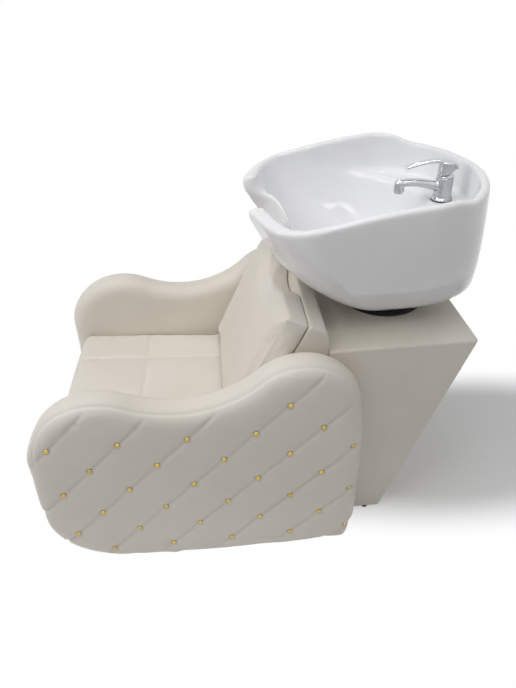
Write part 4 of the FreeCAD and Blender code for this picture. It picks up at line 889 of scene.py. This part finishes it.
SURROUND = 0.27
world = bpy.data.worlds.new("white_surround")
scene.world = world
world.use_nodes = True
tree = world.node_tree
tree.nodes.clear()
level = add_node(tree, "ShaderNodeMapRange", {"To Min": SURROUND, "To Max": 1}, {"Value": showing(tree)})
sky = add_node(tree, "ShaderNodeBackground", {"Color": linear("#FFFFFF")}, {"Strength": level.outputs[0]})
add_node(tree, "ShaderNodeOutputWorld", links={"Surface": sky.outputs[0]})
print("floor", glowing_floor.name, "surround", world.name, SURROUND)

# %% [markdown]
# ## Lamps
#
# The light is that of a bright room: a large soft source above, a window beyond the foot end, a little from
# the side, and thin ceiling tubes that draw streaks on chrome and glaze. One lamp could be made strong
# enough, but several weak ones are gentler and give the metal more to mirror.

# %% Lamps
TARGET = Vector((0, 0, 0.5))


def lamp(name, place, size, watts, length=None):
    """A soft lamp that faces the unit: a square, or a strip of a length."""
    data = bpy.data.lights.new(name, "AREA")
    data.shape = "RECTANGLE"
    data.size = size
    data.size_y = length or size
    data.energy = watts
    item = bpy.data.objects.new(name, data)
    item.location = place
    item.rotation_euler = (TARGET - Vector(place)).to_track_quat("-Z", "Y").to_euler()
    scene.collection.objects.link(item)


TUBES = ((0.9, 0.1, 2.7), (0.2, 0.6, 2.7), (-0.6, 0.3, 2.7))
TUBE_WIDTH, TUBE_LENGTH, TUBE_WATTS = 0.04, 1.2, 2.5

lamp("ceiling_lamp", (0.5, -1.0, 3.0), 2.0, 24)
lamp("window_lamp", (0.4, -2.8, 2.1), 0.9, 16)
lamp("side_lamp", (1.3, 0.5, 2.6), 0.5, 3)
for index, spot in enumerate(TUBES):
    lamp(f"ceiling_tube_{index}", spot, TUBE_WIDTH, TUBE_WATTS, length=TUBE_LENGTH)
print("lamps", len(bpy.data.lights))

# %% [markdown]
# ## Camera
#
# The picture was taken from the unit's left, a little above the basin. A camera could be aimed by eye, and
# these numbers are the view that fits the studs, the seat and the floor edges.

# %% Camera
CAMERA_PLACE = Vector((1.2343, -0.0631, 1.4326))
AZIMUTH = math.radians(86.213)
ELEVATION = math.radians(37.082)
ROLL = math.radians(-2.15)
LENS = 27.64
SENSOR = 36

away = Vector((math.sin(AZIMUTH) * math.cos(ELEVATION), -math.cos(AZIMUTH) * math.cos(ELEVATION),
               math.sin(ELEVATION)))
level_right = Vector((0, 0, 1)).cross(away).normalized()
level_up = away.cross(level_right)
right = math.cos(ROLL) * level_right + math.sin(ROLL) * level_up
up = math.cos(ROLL) * level_up - math.sin(ROLL) * level_right
data = bpy.data.cameras.new("catalogue_camera")
data.lens = LENS
data.sensor_fit = "VERTICAL"
data.sensor_height = SENSOR
camera = bpy.data.objects.new("catalogue_camera", data)
turn = Matrix((right, up, away)).transposed()
camera.matrix_world = Matrix.Translation(CAMERA_PLACE) @ turn.to_4x4()
scene.collection.objects.link(camera)
scene.camera = camera
scene.view_settings.view_transform = "Standard"
print("camera at", [round(value, 3) for value in CAMERA_PLACE], "lens", LENS)
